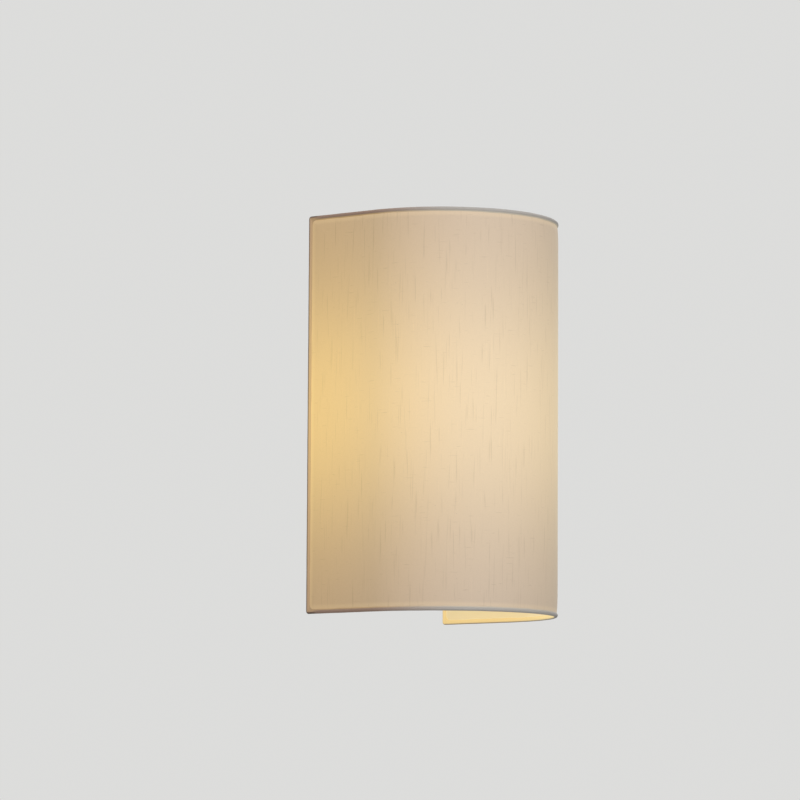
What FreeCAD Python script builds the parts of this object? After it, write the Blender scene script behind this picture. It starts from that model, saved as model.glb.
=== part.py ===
import FreeCAD, Part
import math
import os
from FreeCAD import Vector

# Fabric shade wall light. A U-shaped fabric shade on a wire frame hangs by its cross bar on two
# hooks of a steel wall plate, and two rubber buffers keep its lower end off the wall. The plate
# also carries a shallow steel canopy with the terminal block behind it and a screw lampholder in
# front, which points a small round bulb into the room.
# Millimetres, +Z up. The origin is on the wall, behind the middle of the shade. The room is at -Y,
# and the lamp axis is the Y axis.

# ---------------------------------------------------------------- shade, outside of the edge trim
shade_width = 145.0
shade_depth = 125.0
shade_height = 250.0
wall_gap = 3.0              # from the wall to the trim
frame_wire_d = 2.0
trim_wall = 0.3             # cloth of the trim, rolled round the frame wire
corner_bend_r = 1.8         # of the wire's centre line, at the four corners beside the wall
fabric_t = 0.4
liner_t = 0.6

# ---------------------------------------------------------------- what the shade hangs and rests on
bar_d = 2.5
bar_height = 70.0           # of the cross bar above the lamp axis
buffer_rise = 40.0          # of the buffers above the shade's lower edge
buffer_length = 8.0
buffer_setback = 2.0        # from the side trim to the buffer
stub_overhang = 1.0         # of the buffer's stub past the buffer

# ---------------------------------------------------------------- wall plate
plate_width = 80.0
plate_height = 180.0
plate_t = 1.5
plate_corner_r = 6.0
sheet_bend_r = 1.0          # inside radius of a bend in the plate's sheet
lance_gap = 0.5             # beside a tab that is cut free and bent out of the plate
hook_spacing = 56.0
hook_width = 8.0
hook_lip = 3.2              # of the hook's tip above the middle of the bar
hook_clearance = 0.4        # between the bar and the hook's lip
rest_gap = 0.1              # between the bar and the hook's seat
wall_slot_spacing = 116.0
wall_slot_width = 5.0
wall_slot_length = 10.0
cable_hole_d = 16.0
cable_hole_height = 18.0    # above the lamp axis
grommet_bore_d = 10.0
grommet_flange_d = 20.0
grommet_flange_t = 1.5

# ---------------------------------------------------------------- canopy and its screws
canopy_width = 64.0
canopy_height = 92.0
canopy_depth = 16.5         # in front of the plate
canopy_t = 1.0
canopy_corner_r = 12.0
canopy_edge_r = 4.0
tab_width = 10.0
tab_length = 13.0           # of the canopy's screw tabs, out of the plate
tab_gap = 0.1               # between the canopy and the bend at the tab's root
canopy_screw_d = 3.0
canopy_screw_length = 6.0
canopy_screw_reach = 8.0    # of the screws in front of the plate

# ---------------------------------------------------------------- lampholder
nipple_d = 10.0
nipple_bore_d = 7.0
nipple_length = 9.0
nipple_grip = 1.8           # how far it is screwed into the lampholder
nut_flats = 14.0
nut_t = 3.0
washer_d = 16.0
washer_t = 0.8
base_d = 29.0               # outside of the lampholder's rear cup
base_floor = 2.0
base_length = 13.0
base_seat_d = 18.0          # flat of the cup against the canopy
base_wall = 2.2
skirt_mouth_d = 26.0
skirt_length = 24.0
skirt_wall = 1.4
skirt_mouth_bore_d = 18.6
skirt_lip = 1.2
holder_fit = 0.1            # round what sits in the cup
block_t = 7.0
shell_bore_d = 14.0
shell_t = 0.35
shell_length = 18.0
shell_flange_d = 23.6
contact_width = 4.0
contact_t = 0.3
contact_rise = 0.9          # of the centre contact's crest off the contact block
contact_gap = 0.3           # between the centre contact and the bulb's tip
contact_tail = 5.6          # from the lamp axis to the centre contact's fixed end
contact_spread = 3.2        # from the lamp axis to where it leaves the block
contact_bend_r = 2.0        # where it leaves the block
contact_crest_r = 1.0
wire_bore_depth = 4.0       # of the wires in the contact block

# ---------------------------------------------------------------- bulb
globe_d = 45.0
bulb_length = 78.0
glass_t = 0.8
neck_d = 16.0
neck_blend_r = 14.0         # hollow between neck and globe
cap_d = 13.2                # mean of the screw thread
cap_t = 0.3
cap_length = 25.0           # with the tip
cap_flange_d = 17.0
cap_flange_t = 2.0
cap_cone_length = 3.0
cap_overlap = 1.5           # of the glass inside the cap's flange
tip_d = 4.8
tip_t = 1.2
tip_edge_r = 0.96           # of the solder dome's rounded edge
insulator_length = 2.6
insulator_rear_d = 6.8
stem_d = 5.0
stem_length = 16.0
stem_flare_t = 1.5
lead_d = 0.7
lead_spread = 9.0           # of each lead's end from the lamp axis
lead_reach = 12.0           # of the leads past the stem
lead_pitch = 2.5            # between the leads where they leave the stem
lead_straight = 4.0         # of each lead in front of the stem
lead_bend_r = 2.0
filament_d = 1.0
filament_sag = 4.0

# ---------------------------------------------------------------- terminal block and wiring
pole_pitch = 10.0
pole_count = 3
terminal_drop = 28.0        # of the block's middle below the lamp axis
terminal_length = 17.0      # along Z
terminal_height = 12.0
terminal_axis = 5.0         # of the barrels off the plate
barrel_d = 6.4
tower_d = 6.4
tower_spacing = 8.4
web_t = 3.0
insert_d = 4.0
insert_bore_d = 2.8
insert_length = 15.0
terminal_screw_d = 2.6
terminal_screw_recess = 2.0
tower_bore_d = 3.4
fixing_screw_d = 2.5
wire_d = 2.2
wire_bend_r = 4.0
wire_pair_offset = 1.4      # of each wire from the lamp axis, inside the nipple
wire_turn_drop = 10.0       # below the lamp axis, where the wires lean towards the nipple
earth_point = (21.0, -10.0) # X and Z of the earth screw
earth_screw_d = 4.0
earth_screw_length = 5.0
earth_tag_d = 8.5
earth_tag_t = 0.8
earth_tongue = 7.5          # from the screw to the end of the tag's tongue
earth_bend_r = 2.0
earth_washer_t = 0.8
screw_slot_w = 0.8
pan_head_ratio = 1.9        # of a pan head's width to the screw's diameter
pan_height_ratio = 0.6      # of its height to the screw's diameter

# ---------------------------------------------------------------- places that follow
X = Vector(1, 0, 0)
Y = Vector(0, 1, 0)
Z = Vector(0, 0, 1)
trim_r = frame_wire_d / 2 + trim_wall
flank_x = shade_width / 2 - trim_r              # centre line of the shade's wall, on the flanks
edge_y = -(wall_gap + trim_r)                   # of the side wires
arc_y = edge_y - (shade_depth - 2 * trim_r - flank_x)    # where the flanks turn into the front
front_y = arc_y - flank_x
edge_z = shade_height / 2 - trim_r              # of the top and bottom wires
buffer_z = buffer_rise - shade_height / 2
sheet_t = fabric_t + liner_t
plate_front = -plate_t
canopy_front = plate_front - canopy_depth
canopy_inner = canopy_front + canopy_t
block_front = canopy_front - base_floor - block_t
flange_front = block_front - shell_t            # of the thread shell's flange
base_rim = canopy_front - base_length
contact_crest = block_front - contact_rise - contact_t
bulb_tip = contact_crest - contact_gap
cap_end = bulb_tip - cap_length
globe_y = bulb_tip - bulb_length + globe_d / 2
terminal_y = plate_front - terminal_axis
terminal_z = -terminal_drop
fixing_x = pole_pitch / 2                       # of the block's screw, between two poles


# ---------------------------------------------------------------- forms that several pieces share
def box(x0, x1, y0, y1, z0, z1):
    return Part.makeBox(x1 - x0, y1 - y0, z1 - z0, Vector(x0, y0, z0))


def rod(start, end, d):
    return Part.makeCylinder(d / 2, (end - start).Length, start, end - start)


def fused(shapes):
    return shapes[0].multiFuse(shapes[1:]).removeSplitter() if len(shapes) > 1 else shapes[0]


def turned(outline):
    """Solid of revolution about the lamp axis. The outline is a list of (radius, y) corners."""
    corners = [Vector(r, y, 0) for r, y in outline]
    return Part.Face(Part.makePolygon(corners + corners[:1])).revolve(Vector(), Y, 360)


def tube(d, bore_d, y0, y1):
    return turned([(bore_d / 2, y0), (d / 2, y0), (d / 2, y1), (bore_d / 2, y1)])


def round_section(d, bore_d=0.0):
    """Section of a wire, or of a tube round one, placed at a point across a direction."""
    def face(point, direction):
        disc = Part.Face(Part.Wire(Part.makeCircle(d / 2, point, direction)))
        if not bore_d:
            return disc
        return disc.cut(Part.Face(Part.Wire(Part.makeCircle(bore_d / 2, point, direction))))
    return face


def strip_section(width, t, along=X):
    """Section of a flat strip, as wide as given along one direction that it keeps."""
    def face(point, direction):
        side = along * (width / 2)
        up = along.cross(direction).normalize() * (t / 2)
        corners = [point - side - up, point + side - up, point + side + up, point - side + up]
        return Part.Face(Part.makePolygon(corners + corners[:1]))
    return face


def bent(section, points, radii):
    """Wire, tube or strip along straight runs joined by tangent arcs, one radius for each turn."""
    ways = [(b - a).normalize() for a, b in zip(points, points[1:])]
    angles = [a.getAngle(b) for a, b in zip(ways, ways[1:])]
    setbacks = [0.0] + [r * math.tan(a / 2) for r, a in zip(radii, angles)] + [0.0]
    pieces = []
    for i, way in enumerate(ways):
        start = points[i] + way * setbacks[i]
        end = points[i + 1] - way * setbacks[i + 1]
        if (end - start).dot(way) > 1e-6:
            pieces.append(section(start, way).extrude(end - start))
        if i < len(angles):
            axis = way.cross(ways[i + 1]).normalize()
            centre = end + axis.cross(way) * radii[i]
            pieces.append(section(end, way).revolve(centre, axis, math.degrees(angles[i])))
    return fused(pieces)


def pan_screw(seat, direction, d, length):
    """Slotted pan-head screw. Its head stands on the seat, and its shank runs along direction."""
    head_d, head_t = pan_head_ratio * d, pan_height_ratio * d
    head = Part.makeCylinder(head_d / 2, head_t)
    head = head.makeFillet(head_t / 2, [e for e in head.Edges if e.CenterOfMass.z > head_t - 1e-6])
    slot = box(-head_d, head_d, -screw_slot_w / 2, screw_slot_w / 2, head_t / 2, head_t)
    screw = fused([head.cut(slot), Part.makeCylinder(d / 2, length, Vector(), -Z)])
    screw.Placement = FreeCAD.Placement(seat, FreeCAD.Rotation(Z, -direction))
    return screw


def save(name, *solids):
    """Write one node. A node of identical pieces holds them as a group of separate solids."""
    shape = solids[0] if len(solids) == 1 else Part.makeCompound(solids)
    shape.exportStep("parts/" + name + ".step")
    print(name, len(shape.Solids), shape.isValid(), round(shape.Volume, 1))


# ---------------------------------------------------------------- shade
def edge_route(side):
    """The top or bottom wire: down the shade's wall at both ends, and round its front."""
    bend_z = side * (edge_z - corner_bend_r)
    return ([Vector(-flank_x, edge_y, bend_z), Vector(-flank_x, edge_y, side * edge_z),
             Vector(-flank_x, front_y, side * edge_z), Vector(flank_x, front_y, side * edge_z),
             Vector(flank_x, edge_y, side * edge_z), Vector(flank_x, edge_y, bend_z)],
            [corner_bend_r, flank_x, flank_x, corner_bend_r])


def side_route(side):
    half = edge_z - corner_bend_r
    return [Vector(side * flank_x, edge_y, -half), Vector(side * flank_x, edge_y, half)], []


def shade_sheet(inside, outside):
    """One layer of the shade's wall, between two offsets from its centre line, up to the trim."""
    end_y, end_z = edge_y - trim_r, edge_z - trim_r

    def outline(offset):
        r = flank_x + offset
        corners = [Vector(-r, end_y, -end_z), Vector(-r, arc_y, -end_z),
                   Vector(r, arc_y, -end_z), Vector(r, end_y, -end_z)]
        front = Part.Arc(corners[1], Vector(0, arc_y - r, -end_z), corners[2]).toShape()
        return Part.Face(Part.Wire([Part.makeLine(corners[0], corners[1]), front,
                                    Part.makeLine(corners[2], corners[3]),
                                    Part.makeLine(corners[3], corners[0])]))
    sheet = outline(outside).cut(outline(inside)).extrude(Z * (2 * end_z))
    corners = [e for e in sheet.Edges
               if abs(e.CenterOfMass.y - end_y) < 1e-6 and abs(abs(e.CenterOfMass.z) - end_z) < 1e-6]
    return sheet.makeFillet(corner_bend_r - trim_r, corners)


def hanger_bar():
    """Cross bar between the side wires, with its ends shaped to sit on them."""
    bar = rod(Vector(-flank_x, edge_y, bar_height), Vector(flank_x, edge_y, bar_height), bar_d)
    for side in (-1, 1):
        bar = bar.cut(side_wire(side))
    return bar


def side_wire(side):
    return bent(round_section(frame_wire_d), *side_route(side))


def buffer_stub(side):
    """Short wire inward from a side wire, that carries a buffer."""
    reach = trim_r + buffer_setback + buffer_length + stub_overhang
    start = Vector(side * flank_x, edge_y, buffer_z)
    return rod(start, start - X * (side * reach), frame_wire_d).cut(side_wire(side))


def wall_buffer(side):
    """Rubber ring on the stub, thick enough to reach the wall."""
    start = Vector(side * (flank_x - trim_r - buffer_setback), edge_y, buffer_z)
    end = start - X * (side * buffer_length)
    return rod(start, end, -2 * edge_y).cut(rod(start, end, frame_wire_d))


def side_trim(side):
    trim = bent(round_section(2 * trim_r, frame_wire_d), *side_route(side))
    return trim.cut(hanger_bar()).cut(buffer_stub(side))


def make_shade():
    save("fabric_cover", shade_sheet(sheet_t / 2 - fabric_t, sheet_t / 2))
    save("shade_liner", shade_sheet(-sheet_t / 2, sheet_t / 2 - fabric_t))
    for name, side in (("top", 1), ("bottom", -1)):
        save(name + "_frame_wire", bent(round_section(frame_wire_d), *edge_route(side)))
        save(name + "_edge_trim", bent(round_section(2 * trim_r, frame_wire_d), *edge_route(side)))
    for name, side in (("left", -1), ("right", 1)):
        save(name + "_frame_wire", side_wire(side))
        save(name + "_edge_trim", side_trim(side))
    save("hanger_bar", hanger_bar())
    save("buffer_stubs", buffer_stub(-1), buffer_stub(1))
    save("wall_buffers", wall_buffer(-1), wall_buffer(1))


# ---------------------------------------------------------------- wall plate
def lanced_tab(corners, width, along):
    """A tab bent out of the plate, and the window that it leaves. The first corner is its root."""
    section = strip_section(width, plate_t, along)
    tab = bent(section, corners, [sheet_bend_r + plate_t / 2] * (len(corners) - 2))
    length = sum((b - a).Length for a, b in zip(corners, corners[1:]))
    way = (corners[1] - corners[0]).normalize()
    window = strip_section(width + 2 * lance_gap, 2 * plate_t, along)(corners[0], way)
    return tab, window.extrude(way * length)


def hook(side):
    """Upright hook below and in front of the cross bar."""
    seat_z = bar_height - bar_d / 2 - rest_gap - plate_t / 2
    lip_y = edge_y - bar_d / 2 - hook_clearance - plate_t / 2
    root_z = seat_z - 2 * sheet_bend_r - plate_t
    x = side * hook_spacing / 2
    plate_y = -plate_t / 2
    return lanced_tab([Vector(x, plate_y, root_z), Vector(x, plate_y, seat_z), Vector(x, lip_y, seat_z),
                       Vector(x, lip_y, bar_height + hook_lip)], hook_width, X)


def canopy_tab(side):
    """Tab against the inside of the canopy's side wall, tapped for the canopy's screw."""
    x = side * (canopy_width / 2 - canopy_t - tab_gap - sheet_bend_r - plate_t / 2)
    root_x = x + side * (2 * sheet_bend_r + plate_t)
    plate_y = -plate_t / 2
    tab, window = lanced_tab([Vector(root_x, plate_y, 0), Vector(x, plate_y, 0),
                              Vector(x, plate_front - tab_length, 0)], tab_width, Z)
    hole_y = plate_front - canopy_screw_reach
    hole = rod(Vector(x - tab_width, hole_y, 0), Vector(x + tab_width, hole_y, 0), canopy_screw_d)
    return tab.cut(hole), window


def wall_slot(side):
    """Upright slot for a wall screw."""
    run = (wall_slot_length - wall_slot_width) / 2
    z = side * wall_slot_spacing / 2
    r = wall_slot_width / 2
    ends = [rod(Vector(0, -plate_t, z + s * run), Vector(0, 0, z + s * run), 2 * r) for s in (-1, 1)]
    return fused(ends + [box(-r, r, -plate_t, 0, z - run, z + run)])


def wall_plate():
    w, h = plate_width / 2, plate_height / 2
    plate = box(-w, w, -plate_t, 0, -h, h)
    upright = [e for e in plate.Edges if abs(abs(e.CenterOfMass.x) - w) < 1e-6
               and abs(abs(e.CenterOfMass.z) - h) < 1e-6]
    plate = plate.makeFillet(plate_corner_r, upright)
    for side in (-1, 1):
        plate = plate.cut(wall_slot(side))
        for tab, window in (hook(side), canopy_tab(side)):
            plate = fused([plate.cut(window), tab])
    cable = Vector(0, 0, cable_hole_height)
    earth = Vector(earth_point[0], 0, earth_point[1])
    fixing = Vector(fixing_x, 0, terminal_z)
    for centre, d in ((cable, cable_hole_d), (earth, earth_screw_d), (fixing, fixing_screw_d)):
        plate = plate.cut(rod(centre, centre - Y * plate_t, d))
    return plate


def cable_grommet():
    """Rubber bush in the cable hole, with one flange inside the canopy."""
    centre = Vector(0, 0, cable_hole_height)
    seat, face = centre - Y * plate_t, centre - Y * (plate_t + grommet_flange_t)
    body = fused([rod(centre, seat, cable_hole_d), rod(seat, face, grommet_flange_d)])
    rim = [e for e in body.Edges if abs(e.CenterOfMass.y - face.y) < 1e-6 and e.Closed]
    return body.makeFillet(grommet_flange_t / 2, rim).cut(rod(centre, face, grommet_bore_d))


# ---------------------------------------------------------------- canopy
def canopy():
    """Pressed steel tray, open towards the wall."""
    def block(inset):
        w, h = canopy_width / 2 - inset, canopy_height / 2 - inset
        body = box(-w, w, canopy_front + inset, plate_front, -h, h)
        upright = [e for e in body.Edges if abs(abs(e.CenterOfMass.x) - w) < 1e-6
                   and abs(abs(e.CenterOfMass.z) - h) < 1e-6]
        body = body.makeFillet(canopy_corner_r - inset, upright)
        rim = [e for e in body.Edges if abs(e.CenterOfMass.y - canopy_front - inset) < 1e-6]
        return body.makeFillet(canopy_edge_r - inset, rim)
    hole_y = plate_front - canopy_screw_reach
    shell = block(0).cut(block(canopy_t))
    shell = shell.cut(rod(Vector(0, canopy_front, 0), Vector(0, canopy_inner, 0), nipple_d))
    return shell.cut(rod(Vector(-canopy_width, hole_y, 0), Vector(canopy_width, hole_y, 0),
                         canopy_screw_d))


def canopy_screw(side):
    seat = Vector(side * canopy_width / 2, plate_front - canopy_screw_reach, 0)
    return pan_screw(seat, X * -side, canopy_screw_d, canopy_screw_length)


def make_wall_plate():
    save("wall_plate", wall_plate())
    save("cable_grommet", cable_grommet())
    save("canopy", canopy())
    save("canopy_screws", canopy_screw(-1), canopy_screw(1))


# ---------------------------------------------------------------- lampholder
def hex_nut():
    """Nut on the nipple, behind the canopy's front."""
    r = nut_flats / math.sqrt(3)
    front = canopy_inner + washer_t
    corners = [Vector(r * math.sin(math.pi / 3 * i), front, r * math.cos(math.pi / 3 * i))
               for i in range(7)]
    nut = Part.Face(Part.makePolygon(corners)).extrude(Y * nut_t)
    return nut.cut(rod(Vector(0, front, 0), Vector(0, front + nut_t, 0), nipple_d))


def lampholder_base():
    """Rear cup of the lampholder. It is rounded towards its flat seat on the canopy."""
    r, seat_r = base_d / 2, base_seat_d / 2
    inner_r = r - base_wall
    floor_y = canopy_front - base_floor
    shoulder_y = canopy_front - (r - seat_r)
    start, end = Vector(seat_r, canopy_front, 0), Vector(r, shoulder_y, 0)
    turn = math.sqrt(0.5) * (r - seat_r)
    curve = Part.Arc(start, Vector(seat_r + turn, shoulder_y + turn, 0), end).toShape()
    corners = [end, Vector(r, base_rim, 0), Vector(inner_r, base_rim, 0), Vector(inner_r, floor_y, 0),
               Vector(nipple_d / 2, floor_y, 0), Vector(nipple_d / 2, canopy_front, 0), start]
    outline = Part.Wire([curve] + [Part.makeLine(a, b) for a, b in zip(corners, corners[1:])])
    return Part.Face(outline).revolve(Vector(), Y, 360)


def lampholder_skirt():
    """Front sleeve: a spigot in the cup that clamps the shell's flange, a slight taper and a lip."""
    inner_r = base_d / 2 - base_wall - holder_fit
    mouth_y = base_rim - skirt_length
    mouth_r = skirt_mouth_d / 2
    return turned([(inner_r - skirt_wall, flange_front), (inner_r, flange_front),
                   (inner_r, base_rim), (base_d / 2, base_rim), (mouth_r, mouth_y),
                   (skirt_mouth_bore_d / 2, mouth_y), (skirt_mouth_bore_d / 2, mouth_y + skirt_lip),
                   (mouth_r - skirt_wall, mouth_y + skirt_lip),
                   (inner_r - skirt_wall, base_rim - skirt_lip)])


def contact_block():
    """Ceramic disc that carries the contacts. Two bores in its back take the wires."""
    block = tube(base_d - 2 * base_wall - 2 * holder_fit, 0, block_front, block_front + block_t)
    for side in (-1, 1):
        start = Vector(side * wire_pair_offset, block_front + block_t, 0)
        block = block.cut(rod(start, start - Y * wire_bore_depth, wire_d))
    return block


def thread_shell():
    """Brass socket for the bulb's cap, with a flange on the contact block."""
    bore_r, r = shell_bore_d / 2, shell_bore_d / 2 + shell_t
    flange = tube(shell_flange_d, shell_bore_d, flange_front, block_front)
    return fused([flange, tube(2 * r, 2 * bore_r, block_front - shell_length, block_front)])


def centre_contact():
    """Springy bronze strip with a crest under the bulb's tip."""
    root_y = block_front - contact_t / 2
    crest_y = contact_crest + contact_t / 2
    points = [Vector(0, root_y, -contact_tail), Vector(0, root_y, -contact_spread),
              Vector(0, crest_y, 0), Vector(0, root_y, contact_spread)]
    return bent(strip_section(contact_width, contact_t), points, [contact_bend_r, contact_crest_r])


def make_lampholder():
    nipple_front = canopy_front - nipple_grip
    save("threaded_nipple", tube(nipple_d, nipple_bore_d, nipple_front, nipple_front + nipple_length))
    save("nipple_washer", tube(washer_d, nipple_d, canopy_inner, canopy_inner + washer_t))
    save("nipple_nut", hex_nut())
    save("lampholder_base", lampholder_base())
    save("lampholder_skirt", lampholder_skirt())
    save("contact_block", contact_block())
    save("thread_shell", thread_shell())
    save("centre_contact", centre_contact())


# ---------------------------------------------------------------- bulb
def glass_outline(inset):
    """Half outline of the glass: neck, hollow curve and globe, moved in by its thickness."""
    r, neck_r, blend_r = globe_d / 2 - inset, neck_d / 2 - inset, neck_blend_r + inset
    reach = math.sqrt((r + blend_r) ** 2 - (neck_r + blend_r) ** 2)
    blend = Vector(neck_r + blend_r, globe_y + reach, 0)
    centre = Vector(0, globe_y, 0)
    join = centre + (blend - centre).normalize() * r
    middle = blend + (join - blend + Vector(-blend_r, 0, 0)).normalize() * blend_r
    neck = Vector(neck_r, cap_end + cap_overlap, 0)
    turn = Vector(neck_r, blend.y, 0)
    front = Vector(0, globe_y - r, 0)
    edges = [Part.makeLine(Vector(0, neck.y, 0), neck), Part.makeLine(neck, turn),
             Part.Arc(turn, middle, join).toShape(),
             Part.Arc(join, centre + X * r, front).toShape(),
             Part.makeLine(front, Vector(0, neck.y, 0))]
    return Part.Face(Part.Wire(edges))


def bulb_glass():
    solid = glass_outline(0).revolve(Vector(), Y, 360)
    return solid.cut(glass_outline(glass_t).revolve(Vector(), Y, 360))


def bulb_cap():
    """Brass screw cap with a wider flange round the glass. Its thread is left plain."""
    rear_y = bulb_tip - tip_t - insulator_length + cap_t
    flange_r, r = cap_flange_d / 2, cap_d / 2
    flange_y = cap_end + cap_flange_t
    cone_y = flange_y + cap_cone_length
    return turned([(r - cap_t, rear_y), (r, rear_y), (r, cone_y), (flange_r, flange_y),
                   (flange_r, cap_end), (neck_d / 2, cap_end), (neck_d / 2, cap_end + cap_overlap),
                   (r - cap_t, cone_y)])


def bulb_insulator():
    rear_y = bulb_tip - tip_t
    inner_y = rear_y - insulator_length
    return turned([(0, rear_y), (insulator_rear_d / 2, rear_y), (cap_d / 2 - cap_t, inner_y + cap_t),
                   (cap_d / 2 - cap_t, inner_y), (0, inner_y)])


def bulb_tip_contact():
    """Low dome of solder at the end of the cap."""
    tip = tube(tip_d, 0, bulb_tip - tip_t, bulb_tip)
    rim = [e for e in tip.Edges if abs(e.CenterOfMass.y - bulb_tip) < 1e-6]
    return tip.makeFillet(tip_edge_r, rim)


def bulb_stem():
    """Glass stem that closes the neck and carries the leads."""
    rear_y = cap_end + cap_overlap
    flare_r = neck_d / 2 - glass_t
    return turned([(0, rear_y), (flare_r, rear_y), (flare_r, rear_y - stem_flare_t),
                   (stem_d / 2, rear_y - 2 * stem_flare_t), (stem_d / 2, rear_y - stem_length),
                   (0, rear_y - stem_length)])


def lead_end(side):
    return Vector(side * lead_spread, cap_end + cap_overlap - stem_length - lead_reach, 0)


def bulb_lead(side):
    """Lead from inside the front of the stem to one end of the filament."""
    start = Vector(side * lead_pitch / 2, cap_end + cap_overlap - stem_length, 0)
    points = [start, start - Y * lead_straight, lead_end(side)]
    return bent(round_section(lead_d), points, [lead_bend_r])


def bulb_filament():
    """Coiled filament, as the plain outside of its coil, hung between the leads."""
    ends = [lead_end(-1), lead_end(1)]
    crest = (ends[0] + ends[1]) * 0.5 - Y * filament_sag
    centre = Part.Arc(ends[0], crest, ends[1]).toShape().Curve.Center
    angle = (ends[0] - centre).getAngle(ends[1] - centre)
    way = (ends[0] - centre).cross(crest - centre).normalize()
    start = way.cross(ends[0] - centre).normalize()
    face = round_section(filament_d)(ends[0], start)
    coil = face.revolve(centre, way, math.degrees(angle))
    return coil.cut(bulb_lead(-1)).cut(bulb_lead(1))


def make_bulb():
    save("bulb_glass", bulb_glass())
    save("bulb_cap", bulb_cap())
    save("bulb_insulator", bulb_insulator())
    save("bulb_tip_contact", bulb_tip_contact())
    save("bulb_stem", bulb_stem())
    save("bulb_leads", bulb_lead(-1), bulb_lead(1))
    save("bulb_filament", bulb_filament())


# ---------------------------------------------------------------- terminal block and wiring
def pole_x(i):
    return (i - (pole_count - 1) / 2) * pole_pitch


def screw_places():
    """X and Z of every clamping screw: two to a pole."""
    return [(pole_x(i), terminal_z + s * tower_spacing / 2)
            for i in range(pole_count) for s in (-1, 1)]


def terminal_block():
    """Moulded strip: a barrel for each pole, with two screw towers, joined by webs."""
    half = terminal_length / 2
    top = plate_front - terminal_height
    barrels = [rod(Vector(pole_x(i), terminal_y, terminal_z - half),
                   Vector(pole_x(i), terminal_y, terminal_z + half), barrel_d)
               for i in range(pole_count)]
    towers = [rod(Vector(x, terminal_y, z), Vector(x, top, z), tower_d) for x, z in screw_places()]
    foot = box(pole_x(0) - barrel_d / 2, pole_x(pole_count - 1) + barrel_d / 2, terminal_y, plate_front,
               terminal_z - half, terminal_z + half)
    web = box(pole_x(0), pole_x(pole_count - 1), terminal_y - web_t, terminal_y,
              terminal_z - tower_d, terminal_z + tower_d)
    block = fused(barrels + towers + [foot, web])
    for i in range(pole_count):
        block = block.cut(rod(Vector(pole_x(i), terminal_y, terminal_z - half),
                              Vector(pole_x(i), terminal_y, terminal_z + half), insert_d))
    for x, z in screw_places():
        block = block.cut(rod(Vector(x, terminal_y, z), Vector(x, top, z), tower_bore_d))
    return block.cut(rod(Vector(fixing_x, top, terminal_z), Vector(fixing_x, 0, terminal_z),
                         fixing_screw_d))


def terminal_insert(i):
    """Brass tube in a barrel, with a hole for each of its screws."""
    half = insert_length / 2
    ends = Vector(pole_x(i), terminal_y, terminal_z - half), Vector(pole_x(i), terminal_y, terminal_z + half)
    insert = rod(*ends, insert_d).cut(rod(*ends, insert_bore_d))
    for s in (-1, 1):
        z = terminal_z + s * tower_spacing / 2
        insert = insert.cut(rod(Vector(pole_x(i), terminal_y, z),
                                Vector(pole_x(i), terminal_y - insert_d, z), terminal_screw_d))
    return insert


def terminal_screw(x, z):
    """Headless slotted screw, down to the wire."""
    end = terminal_y - wire_d / 2
    top = plate_front - terminal_height + terminal_screw_recess
    screw = rod(Vector(x, end, z), Vector(x, top, z), terminal_screw_d)
    return screw.cut(box(x - terminal_screw_d, x + terminal_screw_d, top, top + screw_slot_w,
                         z - screw_slot_w / 2, z + screw_slot_w / 2))


def lamp_wire(pole, side):
    """Insulated wire from a pole up behind the nipple, and through it to the contact block."""
    x = side * wire_pair_offset
    points = [Vector(pole_x(pole), terminal_y, terminal_z + tower_spacing / 2),
              Vector(pole_x(pole), terminal_y, -wire_turn_drop), Vector(x, terminal_y, 0),
              Vector(x, block_front + block_t - wire_bore_depth, 0)]
    return bent(round_section(wire_d), points, [wire_bend_r, wire_bend_r])


def earth_wire():
    """Insulated wire from the last pole to the tag under the earth screw."""
    x, z = earth_point
    pole = pole_x(pole_count - 1)
    tag_y = plate_front - earth_tag_t - wire_d / 2
    points = [Vector(pole, terminal_y, terminal_z + tower_spacing / 2), Vector(pole, terminal_y, z),
              Vector(x - earth_tongue, tag_y, z), Vector(x - earth_tag_d / 2, tag_y, z)]
    return bent(round_section(wire_d), points, [earth_bend_r, earth_bend_r])


def earth_tag():
    """Ring tag on the plate, with a flat tongue under the wire."""
    x, z = earth_point
    centre = Vector(x, plate_front, z)
    ring = rod(centre, centre - Y * earth_tag_t, earth_tag_d)
    tongue = box(x - earth_tongue, x, plate_front - earth_tag_t, plate_front, z - wire_d / 2, z + wire_d / 2)
    return fused([ring, tongue]).cut(rod(centre, centre - Y * earth_tag_t, earth_screw_d))


def make_wiring():
    save("terminal_block", terminal_block())
    save("terminal_inserts", *[terminal_insert(i) for i in range(pole_count)])
    save("terminal_screws", *[terminal_screw(x, z) for x, z in screw_places()])
    fixing_seat = Vector(fixing_x, terminal_y - web_t, terminal_z)
    save("terminal_fixing_screw", pan_screw(fixing_seat, Y, fixing_screw_d, plate_t + terminal_axis + web_t))
    save("live_wire", lamp_wire(0, -1))
    save("neutral_wire", lamp_wire(1, 1))
    save("earth_wire", earth_wire())
    save("earth_tag", earth_tag())
    x, z = earth_point
    washer_face = plate_front - earth_tag_t - earth_washer_t
    washer = rod(Vector(x, plate_front - earth_tag_t, z), Vector(x, washer_face, z), earth_tag_d)
    save("earth_washer", washer.cut(rod(Vector(x, 0, z), Vector(x, washer_face, z), earth_screw_d)))
    save("earth_screw", pan_screw(Vector(x, washer_face, z), Y, earth_screw_d, -washer_face))


os.makedirs("parts", exist_ok=True)
make_shade()
make_wall_plate()
make_lampholder()
make_bulb()
make_wiring()
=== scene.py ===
"""Looks of the fabric shade wall light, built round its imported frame.

A U-shaped fabric shade on a wire frame hangs on a steel wall plate. The plate also carries a
shallow canopy, a screw lampholder and a small round opal bulb, which points into the room.
Metres, +Z up. The wall is at y = 0, the room at -Y, and the lamp axis is the Y axis.
"""

from __future__ import annotations

import logging
import math
from collections.abc import Callable
from dataclasses import dataclass, field
from enum import Enum
from functools import cache

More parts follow.
